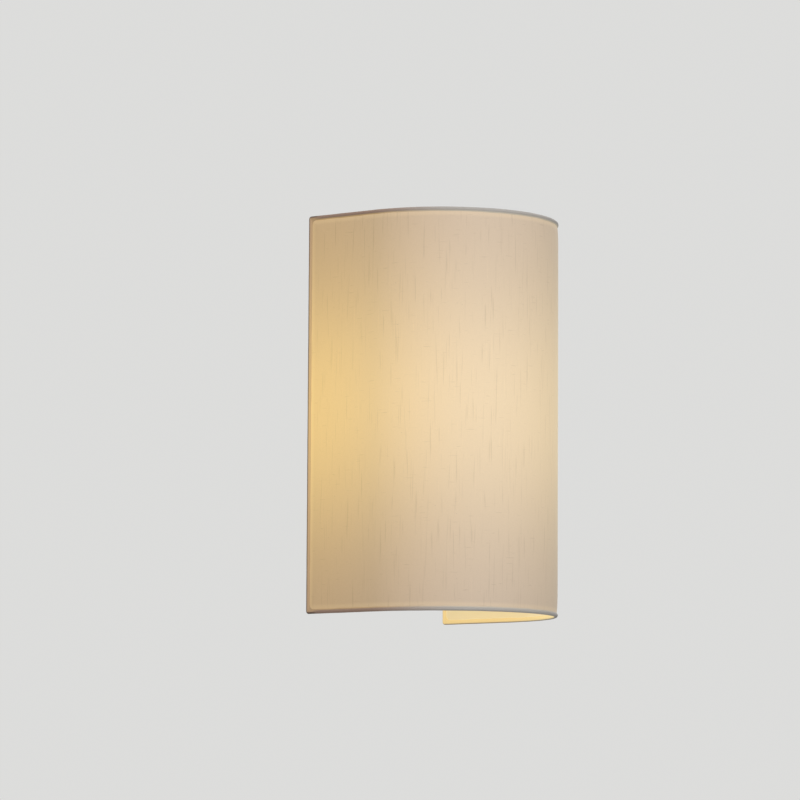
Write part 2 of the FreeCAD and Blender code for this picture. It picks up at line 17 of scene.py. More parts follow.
import bmesh
import bpy
import numpy as np
from mathutils import Matrix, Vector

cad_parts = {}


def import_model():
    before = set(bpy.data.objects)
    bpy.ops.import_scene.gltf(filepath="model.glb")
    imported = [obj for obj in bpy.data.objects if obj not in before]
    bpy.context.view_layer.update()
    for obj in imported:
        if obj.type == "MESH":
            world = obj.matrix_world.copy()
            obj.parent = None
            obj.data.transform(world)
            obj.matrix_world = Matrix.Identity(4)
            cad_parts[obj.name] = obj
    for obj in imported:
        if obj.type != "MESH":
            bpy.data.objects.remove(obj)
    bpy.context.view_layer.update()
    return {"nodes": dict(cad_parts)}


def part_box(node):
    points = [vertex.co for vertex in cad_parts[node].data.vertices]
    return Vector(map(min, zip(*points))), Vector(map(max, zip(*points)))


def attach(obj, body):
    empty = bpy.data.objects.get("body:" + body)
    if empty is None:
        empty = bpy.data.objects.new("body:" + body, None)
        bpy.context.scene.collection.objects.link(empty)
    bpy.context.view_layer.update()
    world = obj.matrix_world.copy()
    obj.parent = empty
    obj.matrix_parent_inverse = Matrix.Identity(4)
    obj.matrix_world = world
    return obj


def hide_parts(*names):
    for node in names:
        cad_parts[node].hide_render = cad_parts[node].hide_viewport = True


LOG = logging.getLogger("wall_light")
MM = 0.001
Array = np.ndarray
Colour = tuple[float, float, float]
Relief = Callable[[Array, Array, Array], Array]
BLACK = (0.0, 0.0, 0.0)
YARN_HEIGHT = 4.0e-5


class Part(Enum):
    """The bodies that the new pieces ride on."""

    WALL_UNIT = "wall_unit"
    SHADE = "shade"
    BULB = "bulb"


# ---------------------------------------------------------------- shader graphs
def math_node(operation: str, flipped: bool = False) -> Callable[[Signal, Signal | float], Signal]:
    """Method of a signal that joins it to another value by one Math node.

    Args:
        operation: The node's operation.
        flipped: Whether the other value comes first.

    Returns:
        The method.
    """

    def method(self: Signal, other: Signal | float) -> Signal:
        """Add the node."""
        first, second = (other, self) if flipped else (self, other)
        return self.graph.add("Math", {0: first, 1: second}, operation=operation)

    return method


class Signal:
    """A number that varies over a surface. Operators on it add the Math nodes they need."""

    def __init__(self, graph: Graph, socket: bpy.types.NodeSocket) -> None:
        """Wrap one output socket of a graph."""
        self.graph, self.socket = graph, socket

    __add__, __radd__ = math_node("ADD"), math_node("ADD", True)
    __sub__, __rsub__ = math_node("SUBTRACT"), math_node("SUBTRACT", True)
    __mul__, __rmul__ = math_node("MULTIPLY"), math_node("MULTIPLY", True)
    __truediv__ = math_node("DIVIDE")
    least, most = math_node("MINIMUM"), math_node("MAXIMUM")

    def __abs__(self) -> Signal:
        """Size without its sign."""
        return self.graph.add("Math", {0: self}, operation="ABSOLUTE")

    def exponential(self) -> Signal:
        """The number e to the power of the value."""
        return self.graph.add("Math", {0: self}, operation="EXPONENT")

    def between(self, low: float, high: float) -> Signal:
        """Ease from 0 at low to 1 at high, and hold on both sides. Low may be the greater."""
        inputs = {"Value": self, "From Min": low, "From Max": high}
        return self.graph.add("MapRange", inputs, interpolation_type="SMOOTHSTEP")


class Graph:
    """Node graph of a material or of the world."""

    def __init__(self, owner: bpy.types.Material | bpy.types.World) -> None:
        """Start with no nodes.

        Args:
            owner: What the graph belongs to.
        """
        self.owner = owner
        owner.use_nodes = True
        owner.node_tree.nodes.clear()

    def add(
        self, kind: str, inputs: dict | None = None, output: int | str = 0, **settings: object
    ) -> Signal:
        """Add a node, give it its settings, and then link or set its sockets.

        Args:
            kind: Type of the node.
            inputs: Values or signals by socket name or number.
            output: The output that is wanted.
            settings: Attributes of the node.

        Returns:
            The output.
        """
        tree = self.owner.node_tree
        node = tree.nodes.new(f"ShaderNode{kind}")
        for key, value in settings.items():
            setattr(node, key, value)
        for key, value in (inputs or {}).items():
            socket = node.inputs[key]
            if isinstance(value, Signal):
                tree.links.new(value.socket, socket)
            elif isinstance(value, tuple) and len(socket.default_value) > len(value):
                socket.default_value = (*value, 1.0)
            else:
                socket.default_value = value
        return Signal(self, node.outputs[output])

    def end(self, kind: str, surface: Signal) -> None:
        """Join the graph's last shader to its output node."""
        tree = self.owner.node_tree
        tree.links.new(surface.socket, tree.nodes.new(f"ShaderNodeOutput{kind}").inputs[0])

    def point(self, source: str, scale: Colour = (1.0, 1.0, 1.0)) -> Signal:
        """Object or UV coordinates of the surface, times a scale along each axis."""
        return self.add("Mapping", {"Vector": self.add("TexCoord", output=source), "Scale": scale})

    def cycles(self, across: float, along: float) -> Signal:
        """UV coordinates of cloth or film, in cycles per metre across it and along it."""
        return self.point("UV", (across, along, 1.0))

    def parts(self, vector: Signal) -> list[Signal]:
        """The three numbers of a vector."""
        outputs = self.add("SeparateXYZ", {0: vector}).socket.node.outputs
        return [Signal(self, output) for output in outputs]

    def noise(self, place: Signal, detail: float = 2.0, scale: float = 1.0) -> Signal:
        """Cloudy noise about 0.5, with its octaves and its cycles for each unit of the place."""
        return self.add("TexNoise", {"Vector": place, "Detail": detail, "Scale": scale})

    def mixed(
        self, share: Signal | float, first: Signal | Colour, second: Signal | Colour, way: str = "MIX"
    ) -> Signal:
        """Blend from a first colour to a second one by a share, or in another way."""
        inputs = {0: share, 6: first, 7: second}
        return self.add("Mix", inputs, 2, data_type="RGBA", blend_type=way)

    def bumped(self, height: Signal, depth: float, strength: float = 1.0) -> Signal:
        """Normal of a surface whose relief is a height from 0 to 1, times a depth in metres."""
        return self.add("Bump", {"Height": height, "Distance": depth, "Strength": strength})

    def shader(self, **sockets: object) -> Signal:
        """Principled shader, fed by its sockets' names with _ for a space."""
        inputs = {key.replace("_", " "): value for key, value in sockets.items()}
        return self.add("BsdfPrincipled", inputs)

    def seen(self) -> Signal:
        """Tell the rays that the camera sees straight, in a mirror or through glass.

        Returns:
            1 on such a ray, and otherwise 0.
        """
        rays = self.add("LightPath").socket.node.outputs
        names = ("Is Camera Ray", "Is Glossy Ray", "Is Transmission Ray")
        straight, mirrored, through = (Signal(self, rays[name]) for name in names)
        return straight.most(mirrored).most(through)


def shade_of(colour: Colour, share: float) -> Colour:
    """A colour at a share of its brightness."""
    return tuple(min(1.0, share * c) for c in colour)


# ---------------------------------------------------------------- finishes
@dataclass(frozen=True)
class Finish:
    """A finish, which becomes one material.

    Attributes:
        slot: Material slot of the record.
        colour: Main colour.
    """

    slot: str
    colour: Colour

    @cache
    def material(self) -> bpy.types.Material:
        """Make the material when it is first asked for, and hand out the same one from then on.

        Returns:
            The material.
        """
        graph = Graph(bpy.data.materials.new(self.slot))
        graph.end("Material", graph.shader(**self.sockets(graph)))
        return graph.owner

    def sockets(self, g: Graph) -> dict[str, object]:
        """Inputs of the Principled shader by name, worked out by each kind of finish."""
        raise NotImplementedError


@dataclass(frozen=True)
class Coating(Finish):
    """Powder coat on steel: a satin skin with orange peel and faint clouds.

    Attributes:
        roughness: Mean roughness.
        peel: Cycles of orange peel per metre.
        depth: Height of the peel in metres.
    """

    roughness: float = 0.42
    peel: float = 1100.0
    depth: float = 2.0e-5

    def sockets(self, g: Graph) -> dict[str, object]:
        """Work out the shader's inputs.

        Args:
            g: Graph of the material.

        Returns:
            The inputs by name.
        """
        place = g.point("Object")
        clouds = g.noise(place, 3.0, 45.0)
        return dict(
            Base_Color=g.mixed(clouds, shade_of(self.colour, 0.955), shade_of(self.colour, 1.03)),
            Roughness=self.roughness - 0.05 + 0.1 * clouds,
            Normal=g.bumped(g.noise(place, 1.5, self.peel), self.depth),
            Specular_IOR_Level=0.5,
        )


@dataclass(frozen=True)
class Metal(Finish):
    """Bare or plated metal with fine drawn lines and faint tarnish.

    Attributes:
        tarnish: Colour of the dull patches.
        roughness: Mean roughness.
        drawn: Cycles per metre across and along the drawn lines.
        depth: Height of the lines in metres.
    """

    tarnish: Colour
    roughness: float = 0.3
    drawn: Colour = (900.0, 2600.0, 900.0)
    depth: float = 6.0e-6

    def sockets(self, g: Graph) -> dict[str, object]:
        """Work out the shader's inputs.

        Args:
            g: Graph of the material.

        Returns:
            The inputs by name.
        """
        patches = g.noise(g.point("Object"), 4.0, 210.0)
        lines = g.noise(g.point("Object", self.drawn))
        return dict(
            Base_Color=g.mixed(patches.between(0.42, 0.72), self.colour, self.tarnish),
            Metallic=1.0,
            Roughness=self.roughness - 0.08 + 0.1 * patches + 0.08 * lines,
            Normal=g.bumped(lines, self.depth),
        )


@dataclass(frozen=True)
class Moulding(Finish):
    """Moulded plastic, rubber or fired ceramic.

    Attributes:
        roughness: Mean roughness.
        grain: Cycles of the grain per metre.
        depth: Height of the grain in metres.
        speck: Share by which the specks darken the colour.
        stripe: Colour of a stripe along a wire, or None.
        stripe_half: Half of its width, as a share of the way round the wire.
    """

    roughness: float = 0.4
    grain: float = 2200.0
    depth: float = 1.0e-5
    speck: float = 0.05
    stripe: Colour | None = None
    stripe_half: float = 0.155

    def sockets(self, g: Graph) -> dict[str, object]:
        """Work out the shader's inputs.

        Args:
            g: Graph of the material.

        Returns:
            The inputs by name.
        """
        place = g.point("Object")
        clouds, grain = g.noise(place, scale=120.0), g.noise(place, scale=self.grain)
        colour = g.mixed(clouds, shade_of(self.colour, 0.94), shade_of(self.colour, 1.04))
        colour = g.mixed(grain.between(0.62, 0.75) * self.speck, colour, BLACK)
        if self.stripe:
            off_middle = abs(g.parts(g.point("UV"))[0] - 0.5)
            band = off_middle.between(self.stripe_half + 0.015, self.stripe_half)
            colour = g.mixed(band, colour, self.stripe)
        return dict(
            Base_Color=colour,
            Roughness=self.roughness - 0.05 + 0.1 * clouds,
            Normal=g.bumped(grain, self.depth),
        )


@dataclass(frozen=True)
class ClearGlass(Finish):
    """Clear glass with faint drawn streaks.

    Attributes:
        drawn: Cycles of the streaks per metre, across and along the lamp axis.
    """

    drawn: Colour = (700.0, 90.0, 700.0)

    def sockets(self, g: Graph) -> dict[str, object]:
        """Work out the shader's inputs.

        Args:
            g: Graph of the material.

        Returns:
            The inputs by name.
        """
        streaks = g.noise(g.point("Object", self.drawn))
        return dict(
            Base_Color=g.mixed(streaks, shade_of(self.colour, 0.96), self.colour),
            Roughness=0.02 + 0.04 * streaks,
            Normal=g.bumped(streaks, 4.0e-6),
            Transmission_Weight=1.0,
            IOR=1.5,
        )


@dataclass(frozen=True)
class Glow:
    """Light that the lit bulb gives the shade's wall, strongest beside the bulb.

    The UV map holds the unrolled wall in metres. The share at a height z is
    (level + (1 - level) exp(-(z / reach)^2)) (1 + tilt z).

    Attributes:
        front: Light at the bulb's height, in front.
        flank: The same on the flanks, beside the wall.
        level: Share that stays far from the bulb.
        reach: Height in metres over which the glow falls.
        tilt: Growth of the light for each metre upwards.
    """

    front: Colour
    flank: Colour
    level: float
    reach: float = 0.082
    tilt: float = 0.7

    @staticmethod
    def on_flank(s: Signal) -> Signal:
        """Share of the flank's light at a distance s round the wall from its front."""
        return abs(s).between(0.032, 0.162)

    def light(self, graph: Graph, on_flank: Signal, z: Signal, evenness: Signal) -> Signal:
        """Colour of the light over the wall.

        Args:
            graph: Graph of the wall's material.
            on_flank: Share of the flank's light.
            z: Height.
            evenness: Share, about 1, that the cloth or film lets through.

        Returns:
            The light's colour.
        """
        far = z / self.reach
        fall = self.level + (1.0 - self.level) * (-1.0 * (far * far)).exponential()
        share = fall * (1.0 + self.tilt * z) * evenness
        room = 1.4  # a blend's share ends at 1, so it is scaled down and its colours up
        colour = graph.mixed(on_flank, shade_of(self.front, room), shade_of(self.flank, room))
        return graph.mixed(share / room, BLACK, colour)


@dataclass(frozen=True)
class OpalGlass(Finish):
    """Opal glass of the lit bulb, with a slightly brighter front.

    Attributes:
        glow: Colour of its light.
        front: Y where the light starts to rise, and where it is full.
    """

    glow: Colour
    front: tuple[float, float] = (-0.050, -0.085)

    def sockets(self, g: Graph) -> dict[str, object]:
        """Work out the shader's inputs.

        Args:
            g: Graph of the material.

        Returns:
            The inputs by name.
        """
        place = g.point("Object")
        clouds = g.noise(place, scale=60.0)
        lit = g.parts(place)[1].between(*self.front) * (0.97 + 0.06 * clouds)
        return dict(
            Base_Color=g.mixed(clouds, shade_of(self.colour, 0.97), self.colour),
            Roughness=0.16 + 0.08 * clouds,
            Normal=g.bumped(clouds, 1.0e-5),
            Emission_Color=g.mixed(lit, shade_of(self.glow, 0.55), self.glow),
            Emission_Strength=1.0,
            Coat_Weight=0.3,
        )


@dataclass(frozen=True)
class Weave(Finish):
    """Fine woven cotton, whose UV map holds metres along the weft and the warp.

    Slubs are thick places of the yarn: long ones along the warp, few short ones along the weft.

    Attributes:
        flank: Colour on the flanks: the cloth's colour with painted shade and painted warm light from
            the wall.
        glow: Light that comes through the cloth.
    """

    flank: Colour
    glow: Glow

    def sockets(self, g: Graph) -> dict[str, object]:
        """Work out the shader's inputs. Half of the tint is taken, because it is twice as bright.

        Args:
            g: Graph of the material.

        Returns:
            The inputs by name.
        """
        fine, weft = g.noise(g.cycles(2600.0, 420.0)), g.noise(g.cycles(420.0, 2600.0))
        weft_way, warp_way, _ = g.parts(g.cycles(900.0, 34.0))
        stagger = g.add("CombineXYZ", {
            0: weft_way, 1: warp_way + 9.0 * g.noise(g.cycles(170.0, 0.0), 1.0),
        })
        slubs, shorts = g.noise(stagger, 1.5), g.noise(g.cycles(110.0, 1100.0), 1.0)
        knots, clouds = g.noise(g.cycles(700.0, 700.0), 1.0), g.noise(g.cycles(14.0, 9.0), 3.0)
        thick, thin = slubs.between(0.60, 0.72), slubs.between(0.36, 0.24)
        across, knot = shorts.between(0.67, 0.78), knots.between(0.78, 0.81)
        light = 1.0 + 0.022 * thin - 0.036 * thick - 0.032 * across - 0.11 * knot
        light = light + 0.05 * (fine - 0.5) + 0.04 * (weft - 0.5) + 0.04 * (clouds - 0.5)
        relief = 0.5 * fine + 0.4 * weft + 0.9 * thick + 0.6 * across + 0.8 * knot
        tint, emission = self.lit(g, light, thick.most(across))
        return dict(
            Base_Color=g.mixed(0.5 * light, BLACK, tint),
            Roughness=0.86 - 0.08 * thick + 0.06 * (fine - 0.5),
            Normal=g.bumped(relief, YARN_HEIGHT, 0.7),
            Emission_Color=emission,
            Emission_Strength=1.0,
            Sheen_Weight=0.12,
            Sheen_Roughness=0.5,
            Specular_IOR_Level=0.25,
        )

    def tint(self, g: Graph, on_flank: Signal) -> Signal:
        """Twice the cloth's colour at a share of the flank's, which holds painted shade and painted
        warm light.
        """
        return g.mixed(on_flank, shade_of(self.colour, 2.0), shade_of(self.flank, 2.0))

    def lit(self, g: Graph, light: Signal, slubs: Signal) -> tuple[Signal, Signal]:
        """Tint and emission, worked out by each kind of cloth from its light and slubs."""
        raise NotImplementedError


@dataclass(frozen=True)
class LitCloth(Weave):
    """The shade's cloth on its film, lit from behind, with a bright line beside the trims.

    Attributes:
        half: Half of the cloth's width and height, in metres, out to the trims.
        edge_light: Further light along the trims.
        edge_run: Distances from a trim where that light starts, and where it is full.
    """

    half: tuple[float, float]
    edge_light: Colour = (0.060, 0.047, 0.024)
    edge_run: tuple[float, float] = (3.4 * MM, 1.2 * MM)

    def lit(self, g: Graph, light: Signal, slubs: Signal) -> tuple[Signal, Signal]:
        """Work out the tint and the emission.

        Args:
            g: Graph of the material.
            light: Share of the light that the yarns let through.
            slubs: Share of the slubs, which are a little darker.

        Returns:
            The tint and the emission.
        """
        s, z, _ = g.parts(g.point("UV"))
        on_flank = self.glow.on_flank(s)
        through = self.glow.light(g, on_flank, z, light * light)
        to_trim = (self.half[0] - abs(s)).least(self.half[1] - abs(z))
        emission = g.mixed(to_trim.between(*self.edge_run), through, self.edge_light, "ADD")
        # towards the flanks the base colour turns to the flank colour, with its painted shade and
        # painted warm light
        return g.mixed(0.16 * slubs, self.tint(g, on_flank), self.flank), emission


@dataclass(frozen=True)
class EdgeCloth(Weave):
    """Cloth turned in over the frame wires, whose UV map runs along the trim and round it.

    Light comes through at the outer lip. Beside the wall it also comes through the round part, up to a
    painted shade line at the very edge, on the round's side towards the wall. The inner half has the
    bulb's light on it.

    Attributes:
        inside: The bulb's light on the inner half.
        edge_shade: Colour of the painted shade line at the very edge.
        flank_run: Y where the flank's light starts, and where it is full.
        wall_run: The same of the part beside the wall.
    """

    inside: Colour
    edge_shade: Colour = (0.10, 0.055, 0.02)
    flank_run: tuple[float, float] = (-0.112, -0.045)
    wall_run: tuple[float, float] = (-0.014, -0.007)

    def lit(self, g: Graph, light: Signal, slubs: Signal) -> tuple[Signal, Signal]:
        """Work out the tint and the emission.

        Args:
            g: Graph of the material.
            light: Share of the light that the yarns let through.
            slubs: Share of the slubs, which don't show here.

        Returns:
            The tint and the emission.
        """
        _, around, _ = g.parts(g.point("UV"))
        _, y, z = g.parts(g.point("Object"))
        # towards the flanks the trim's base colour turns to its flank colour, with painted shade and
        # painted warm light
        on_flank, at_wall = y.between(*self.flank_run), y.between(*self.wall_run)
        outer = around.between(2.6 * MM, 3.9 * MM) * (1.0 - at_wall)
        outer = outer + 0.65 * around.between(1.4 * MM, 2.6 * MM) * at_wall
        through = self.glow.light(g, on_flank, z, 0.92 * outer * light)
        within = (0.78 + 0.22 * (-90.0 * (z * z)).exponential()) * around.between(-0.6 * MM, -1.6 * MM)
        emission = g.mixed(1.0, through, g.mixed(within, BLACK, self.inside), "ADD")
        # painted shade: a dark line on the round's side towards the wall, only beside the wall
        line = around.between(2.0 * MM, 1.2 * MM) * around.between(-0.4 * MM, 0.2 * MM) * at_wall
        return g.mixed(0.80 * line, self.tint(g, on_flank), self.edge_shade), emission


@dataclass(frozen=True)
class Film(Finish):
    """White plastic film inside the cloth.

    Attributes:
        glow: The bulb's light on it.
    """

    glow: Glow

    def sockets(self, g: Graph) -> dict[str, object]:
        """Work out the shader's inputs.

        Args:
            g: Graph of the material.

        Returns:
            The inputs by name.
        """
        ripples, grain = g.noise(g.cycles(60.0, 9.0)), g.noise(g.cycles(900.0, 900.0))
        s, z, _ = g.parts(g.point("UV"))
        return dict(
            Base_Color=g.mixed(ripples, shade_of(self.colour, 0.96), self.colour),
            Roughness=0.46 + 0.12 * grain,
            Normal=g.bumped(grain + 2.0 * ripples, 2.0e-5),
            Emission_Color=self.glow.light(g, self.glow.on_flank(s), z, 0.96 + 0.08 * ripples),
            Emission_Strength=1.0,
        )


CLOTH_COLOUR = (0.462, 0.378, 0.332)
# the flanks' colour is the cloth's colour, darkened by painted shade and warmed by painted light from
# the wall
FLANK_SHADE_AND_WARM_LIGHT = (0.436, 0.312, 0.256)
CLOTH_GLOW = Glow((0.408, 0.314, 0.134), (0.556, 0.384, 0.078), level=0.32)
FILM_GLOW = Glow((0.480, 0.350, 0.135), (0.500, 0.365, 0.128), level=0.88, reach=0.090, tilt=0.0)
# the trim's flank colour, its third value, is darker and warmer: painted shade and painted warm light
# from the wall
EDGE_CLOTH = EdgeCloth(
    "edge_cloth", (0.400, 0.378, 0.352), (0.350, 0.236, 0.180), CLOTH_GLOW, inside=(0.80, 0.61, 0.24)
)
FILM = Film("white_liner", (0.72, 0.70, 0.66), FILM_GLOW)
OPAL = OpalGlass("opal_glass", (0.60, 0.58, 0.55), glow=(0.50, 0.40, 0.24))
GLASS = ClearGlass("clear_glass", (0.93, 0.96, 0.95))

# slot, colour, roughness, cycles of peel, its depth
STEEL = Coating("white_steel", (0.78, 0.77, 0.74))
WIRE = Coating("white_wire", (0.76, 0.75, 0.72), 0.38, 1500.0, 1.2e-5)

# slot, colour, tarnish, roughness
ZINC = Metal("zinc_steel", (0.66, 0.67, 0.69), (0.50, 0.51, 0.52), 0.32)
BRASS = Metal("brass_shell", (0.80, 0.60, 0.30), (0.62, 0.43, 0.19), 0.3)
BRONZE = Metal("bronze_spring", (0.72, 0.48, 0.27), (0.55, 0.34, 0.18), 0.34)
INSERTS = Metal("brass_inserts", (0.78, 0.62, 0.34), (0.60, 0.45, 0.22), 0.36)
TINNED = Metal("tinned_tag", (0.72, 0.72, 0.71), (0.58, 0.58, 0.57), 0.38)
SOLDER = Metal("solder", (0.62, 0.62, 0.61), (0.45, 0.45, 0.44), 0.45)
NICKEL = Metal("nickel_cap", (0.70, 0.68, 0.63), (0.56, 0.53, 0.48), 0.26)
LEADS = Metal("lead_wire", (0.60, 0.55, 0.48), (0.44, 0.40, 0.35), 0.36)
TUNGSTEN = Metal("tungsten", (0.36, 0.35, 0.34), (0.24, 0.23, 0.23), 0.4)

# slot, colour, roughness, cycles of grain, its depth, specks, stripe
CLEAR_RUBBER = Moulding("clear_rubber", (0.62, 0.62, 0.58), 0.28, 1600.0, 8.0e-6, 0.0)
BLACK_RUBBER = Moulding("black_rubber", (0.035, 0.034, 0.033), 0.62, 1500.0, 2.0e-5, 0.0)
HOLDER = Moulding("white_holder", (0.77, 0.76, 0.72), 0.33, 2600.0, 6.0e-6)
STEATITE = Moulding("steatite", (0.80, 0.76, 0.67), 0.66, 2400.0, 2.0e-5, 0.12)
NYLON = Moulding("nylon_block", (0.78, 0.77, 0.71), 0.48, 2000.0, 1.0e-5)
BROWN = Moulding("brown_wire", (0.16, 0.070, 0.030), 0.42, 1200.0, 8.0e-6)
BLUE = Moulding("blue_wire", (0.045, 0.16, 0.46), 0.42, 1200.0, 8.0e-6)
EARTH = Moulding("earth_green_wire", (0.05, 0.26, 0.07), 0.42, 1200.0, 8.0e-6, 0.0, (0.72, 0.62, 0.05))
BLACK_GLASS = Moulding("black_insulator", (0.022, 0.022, 0.024), 0.16, 1800.0, 6.0e-6)


# ---------------------------------------------------------------- surfaces
def quads(rows: int, columns: int, wrap_rows: bool, wrap_columns: bool) -> tuple[Array, Array]:
    """Corners of the cells of a grid, as point numbers and as grid places.

    Args:
        rows: Rows of points.
        columns: Columns of points.
        wrap_rows: Whether the last row meets the first.
        wrap_columns: Whether the last column meets the first.

    Returns:
        Point numbers, cells x 4, and (row, column) places, cells x 4 x 2, that don't wrap.
    """
    i, j = np.meshgrid(
        np.arange(rows - 1 + wrap_rows), np.arange(columns - 1 + wrap_columns), indexing="ij"
    )
    row = np.stack([i, i, i + 1, i + 1], -1).reshape(-1, 4)
    column = np.stack([j, j + 1, j + 1, j], -1).reshape(-1, 4)
    return row % rows * columns + column % columns, np.stack([row, column], -1)


def distances(path: Array) -> Array:
    """Distance of each point of a path, n x k, from its start along the path."""
    return np.concatenate([[0], np.cumsum(np.linalg.norm(np.diff(path, axis=0), axis=1))])


@dataclass
class Skin:
    """Closed surface of quads with a UV map.

    Attributes:
        points: Points, n x 3.
        cells: Point numbers, m x 4.
        uvs: UV of each cell's corners, m x 4 x 2.
    """

    points: Array
    cells: Array
    uvs: Array

    @classmethod
    def sheet(cls, outer: Array, inner: Array, uv: Array) -> Skin:
        """Sheet between two grids of points, closed along its edge.

        Args:
            outer: Outer face, rows x columns x 3.
            inner: Inner face, rows x columns x 3.
            uv: UV of the grid, rows x columns x 2.

        Returns:
            The closed sheet.
        """
        rows, columns = outer.shape[:2]
        size = rows * columns
        faces, _ = quads(rows, columns, False, False)
        number = np.arange(size).reshape(rows, columns)
        rim = np.concatenate([number[0, :-1], number[:-1, -1], number[-1, :0:-1], number[:0:-1, 0]])
        follow = np.roll(rim, -1)
        side = np.stack([follow, rim, rim + size, follow + size], -1)
        cells = np.concatenate([faces, faces[:, ::-1] + size, side])
        points = np.concatenate([outer.reshape(-1, 3), inner.reshape(-1, 3)])
        return cls(points, cells, uv.reshape(-1, 2)[cells % size])

    @classmethod
    def grid(cls, points: Array, uv: Array, wrap_rows: bool) -> Skin:
        """Surface of a grid whose columns wrap. The UV grid has the wrapped lines too."""
        cells, places = quads(*points.shape[:2], wrap_rows, True)
        return cls(points.reshape(-1, 3), cells, uv[places[..., 0], places[..., 1]])

    def volume(self) -> float:
        """Volume inside, negative where the cells face inwards."""
        a, b, c, d = (self.points[self.cells[:, k]] for k in range(4))
        return float(np.sum(a * np.cross(b, c)) + np.sum(a * np.cross(c, d))) / 6

    def with_other(self, other: Skin) -> Skin:
        """The two surfaces as one piece."""
        return Skin(
            np.concatenate([self.points, other.points]),
            np.concatenate([self.cells, other.cells + len(self.points)]),
            np.concatenate([self.uvs, other.uvs]),
        )

    def piece(
        self, name: str, finish: Finish, part: Part, stands_for: tuple[str, ...], sharp: float = 38.0
    ) -> bpy.types.Object:
        """Make the surface an object of the scene, with its points that coincide welded.

        Args:
            name: Name of the piece.
            finish: Its finish.
            part: The body that it rides on.
            stands_for: Frame nodes that it replaces.
            sharp: Angle in degrees above which an edge stays sharp.

        Returns:
            The object.
        """
        turn = slice(None, None, -1) if self.volume() < 0 else slice(None)
        cells, uvs = self.cells[:, turn], self.uvs[:, turn]
        mesh = bpy.data.meshes.new(name)
        mesh.vertices.add(len(self.points))
        mesh.vertices.foreach_set("co", self.points.astype(np.float32).ravel())
        mesh.loops.add(cells.size)
        mesh.loops.foreach_set("vertex_index", cells.astype(np.int32).ravel())
        mesh.polygons.add(len(cells))
        mesh.polygons.foreach_set("loop_start", np.arange(0, cells.size, 4, dtype=np.int32))
        mesh.update(calc_edges=True)
        mesh.uv_layers.new(name="UVMap").data.foreach_set("uv", uvs.astype(np.float32).ravel())
        welded = bmesh.new()
        welded.from_mesh(mesh)
        bmesh.ops.remove_doubles(welded, verts=welded.verts, dist=2.0e-7)
        bmesh.ops.dissolve_degenerate(welded, edges=welded.edges, dist=1.0e-8)
        welded.to_mesh(mesh)
        welded.free()
        mesh.shade_smooth()
        mesh.set_sharp_from_angle(angle=math.radians(sharp))
        mesh.materials.append(finish.material())
        obj = bpy.data.objects.new(name, mesh)
        bpy.context.scene.collection.objects.link(obj)
        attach(obj, part.value)
        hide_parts(*stands_for)
        LOG.info("piece %s: %d faces, rides on %s", name, len(mesh.polygons), part.value)
        return obj


@dataclass(frozen=True)
class Axis:
    """A line that a turned piece runs along, with two directions across it.

    Attributes:
        along: Direction of the line.
        across: Direction at an angle of 0.
        third: Direction at a quarter turn.
        origin: A point on the line.
    """

    along: Colour
    across: Colour
    third: Colour
    origin: Colour = (0.0, 0.0, 0.0)

    def place(self, radius: Array, along: Array, angle: Array) -> Array:
        """P = origin + along t + r (across cos a + third sin a)."""
        across = np.cos(angle)[..., None] * self.across + np.sin(angle)[..., None] * self.third
        return self.origin + np.multiply.outer(along, self.along) + radius[..., None] * across


LAMP_AXIS = Axis((0.0, -1.0, 0.0), (1.0, 0.0, 0.0), (0.0, 0.0, 1.0))


def bends(before: Array, corners: Array, after: Array, radius: float, steps: int) -> Array:
    """Curve at each corner, between two points beside it.

    With A and B the points a radius from the corner P towards its neighbours, or nearer where a run
    is short, the curve is (1 - q)^2 A + 2 q (1 - q) P + q^2 B.

    Args:
        before: Neighbours before the corners, n x k.
        corners: Corners, n x k.
        after: Neighbours after the corners, n x k.
        radius: Longest setback from a corner.
        steps: Runs that each curve is made of.

    Returns:
        The curves' points, n (steps + 1) x k.
    """
    most_of_run = 0.45
    beside = []
    for way in (before - corners, after - corners):
        size = np.linalg.norm(way, axis=1, keepdims=True)
        beside.append(corners + way / size * np.minimum(radius, most_of_run * size))
    q = np.linspace(0, 1, steps + 1)[None, :, None]
    start, middle, end = beside[0][:, None], corners[:, None], beside[1][:, None]
    return ((1 - q) ** 2 * start + 2 * q * (1 - q) * middle + q**2 * end).reshape(-1, corners.shape[1])


def outlined(corners: list[list[float]], radius: float, step: float, steps: int = 4) -> Array:
    """Closed outline with rounded corners, and none of its runs longer than a step.

    Args:
        corners: Corners, n pairs of a radius and a distance.
        radius: Longest setback from a corner.
        step: Longest run.
        steps: Runs that each rounding is made of.

    Returns:
        The outline's points, m x 2.
    """
    plain = np.array(corners)
    outline = bends(np.roll(plain, 1, 0), plain, np.roll(plain, -1, 0), radius, steps)
    ring = np.concatenate([outline, outline[:1]])
    run = distances(ring)
    places = np.union1d(run, np.arange(0, run[-1], step))
    places = places[np.concatenate([[True], np.diff(places) > 1e-3 * step])][:-1]
    return np.stack([np.interp(places, run, ring[:, k]) for k in (0, 1)], -1)


def turned(
    outline: Array, columns: int, relief: Relief | None = None, axis: Axis = LAMP_AXIS,
    closed: bool = True,
) -> Skin:
    """Surface of revolution: P(t, a) = axis + r across(a), where a relief may move r.

    Args:
        outline: (radius, distance along the axis), n x 2.
        columns: Points round the axis.
        relief: Function of radius, distance and angle that gives the move of the radius.
        axis: The axis.
        closed: Whether the outline's end meets its start. Otherwise both lie on the axis.

    Returns:
        The surface.
    """
    angle = np.arange(columns + 1) * (2 * math.pi / columns)
    radius, along, turn = np.broadcast_arrays(outline[:, :1], outline[:, 1:], angle[None, :-1])
    if relief:
        radius = radius + relief(radius, along, turn)
    run = distances(np.concatenate([outline, outline[:1]]))
    uv = np.stack(np.broadcast_arrays(angle[None] * outline[:, 0].max(), run[:, None]), -1)
    return Skin.grid(axis.place(radius, along, turn), uv, closed)


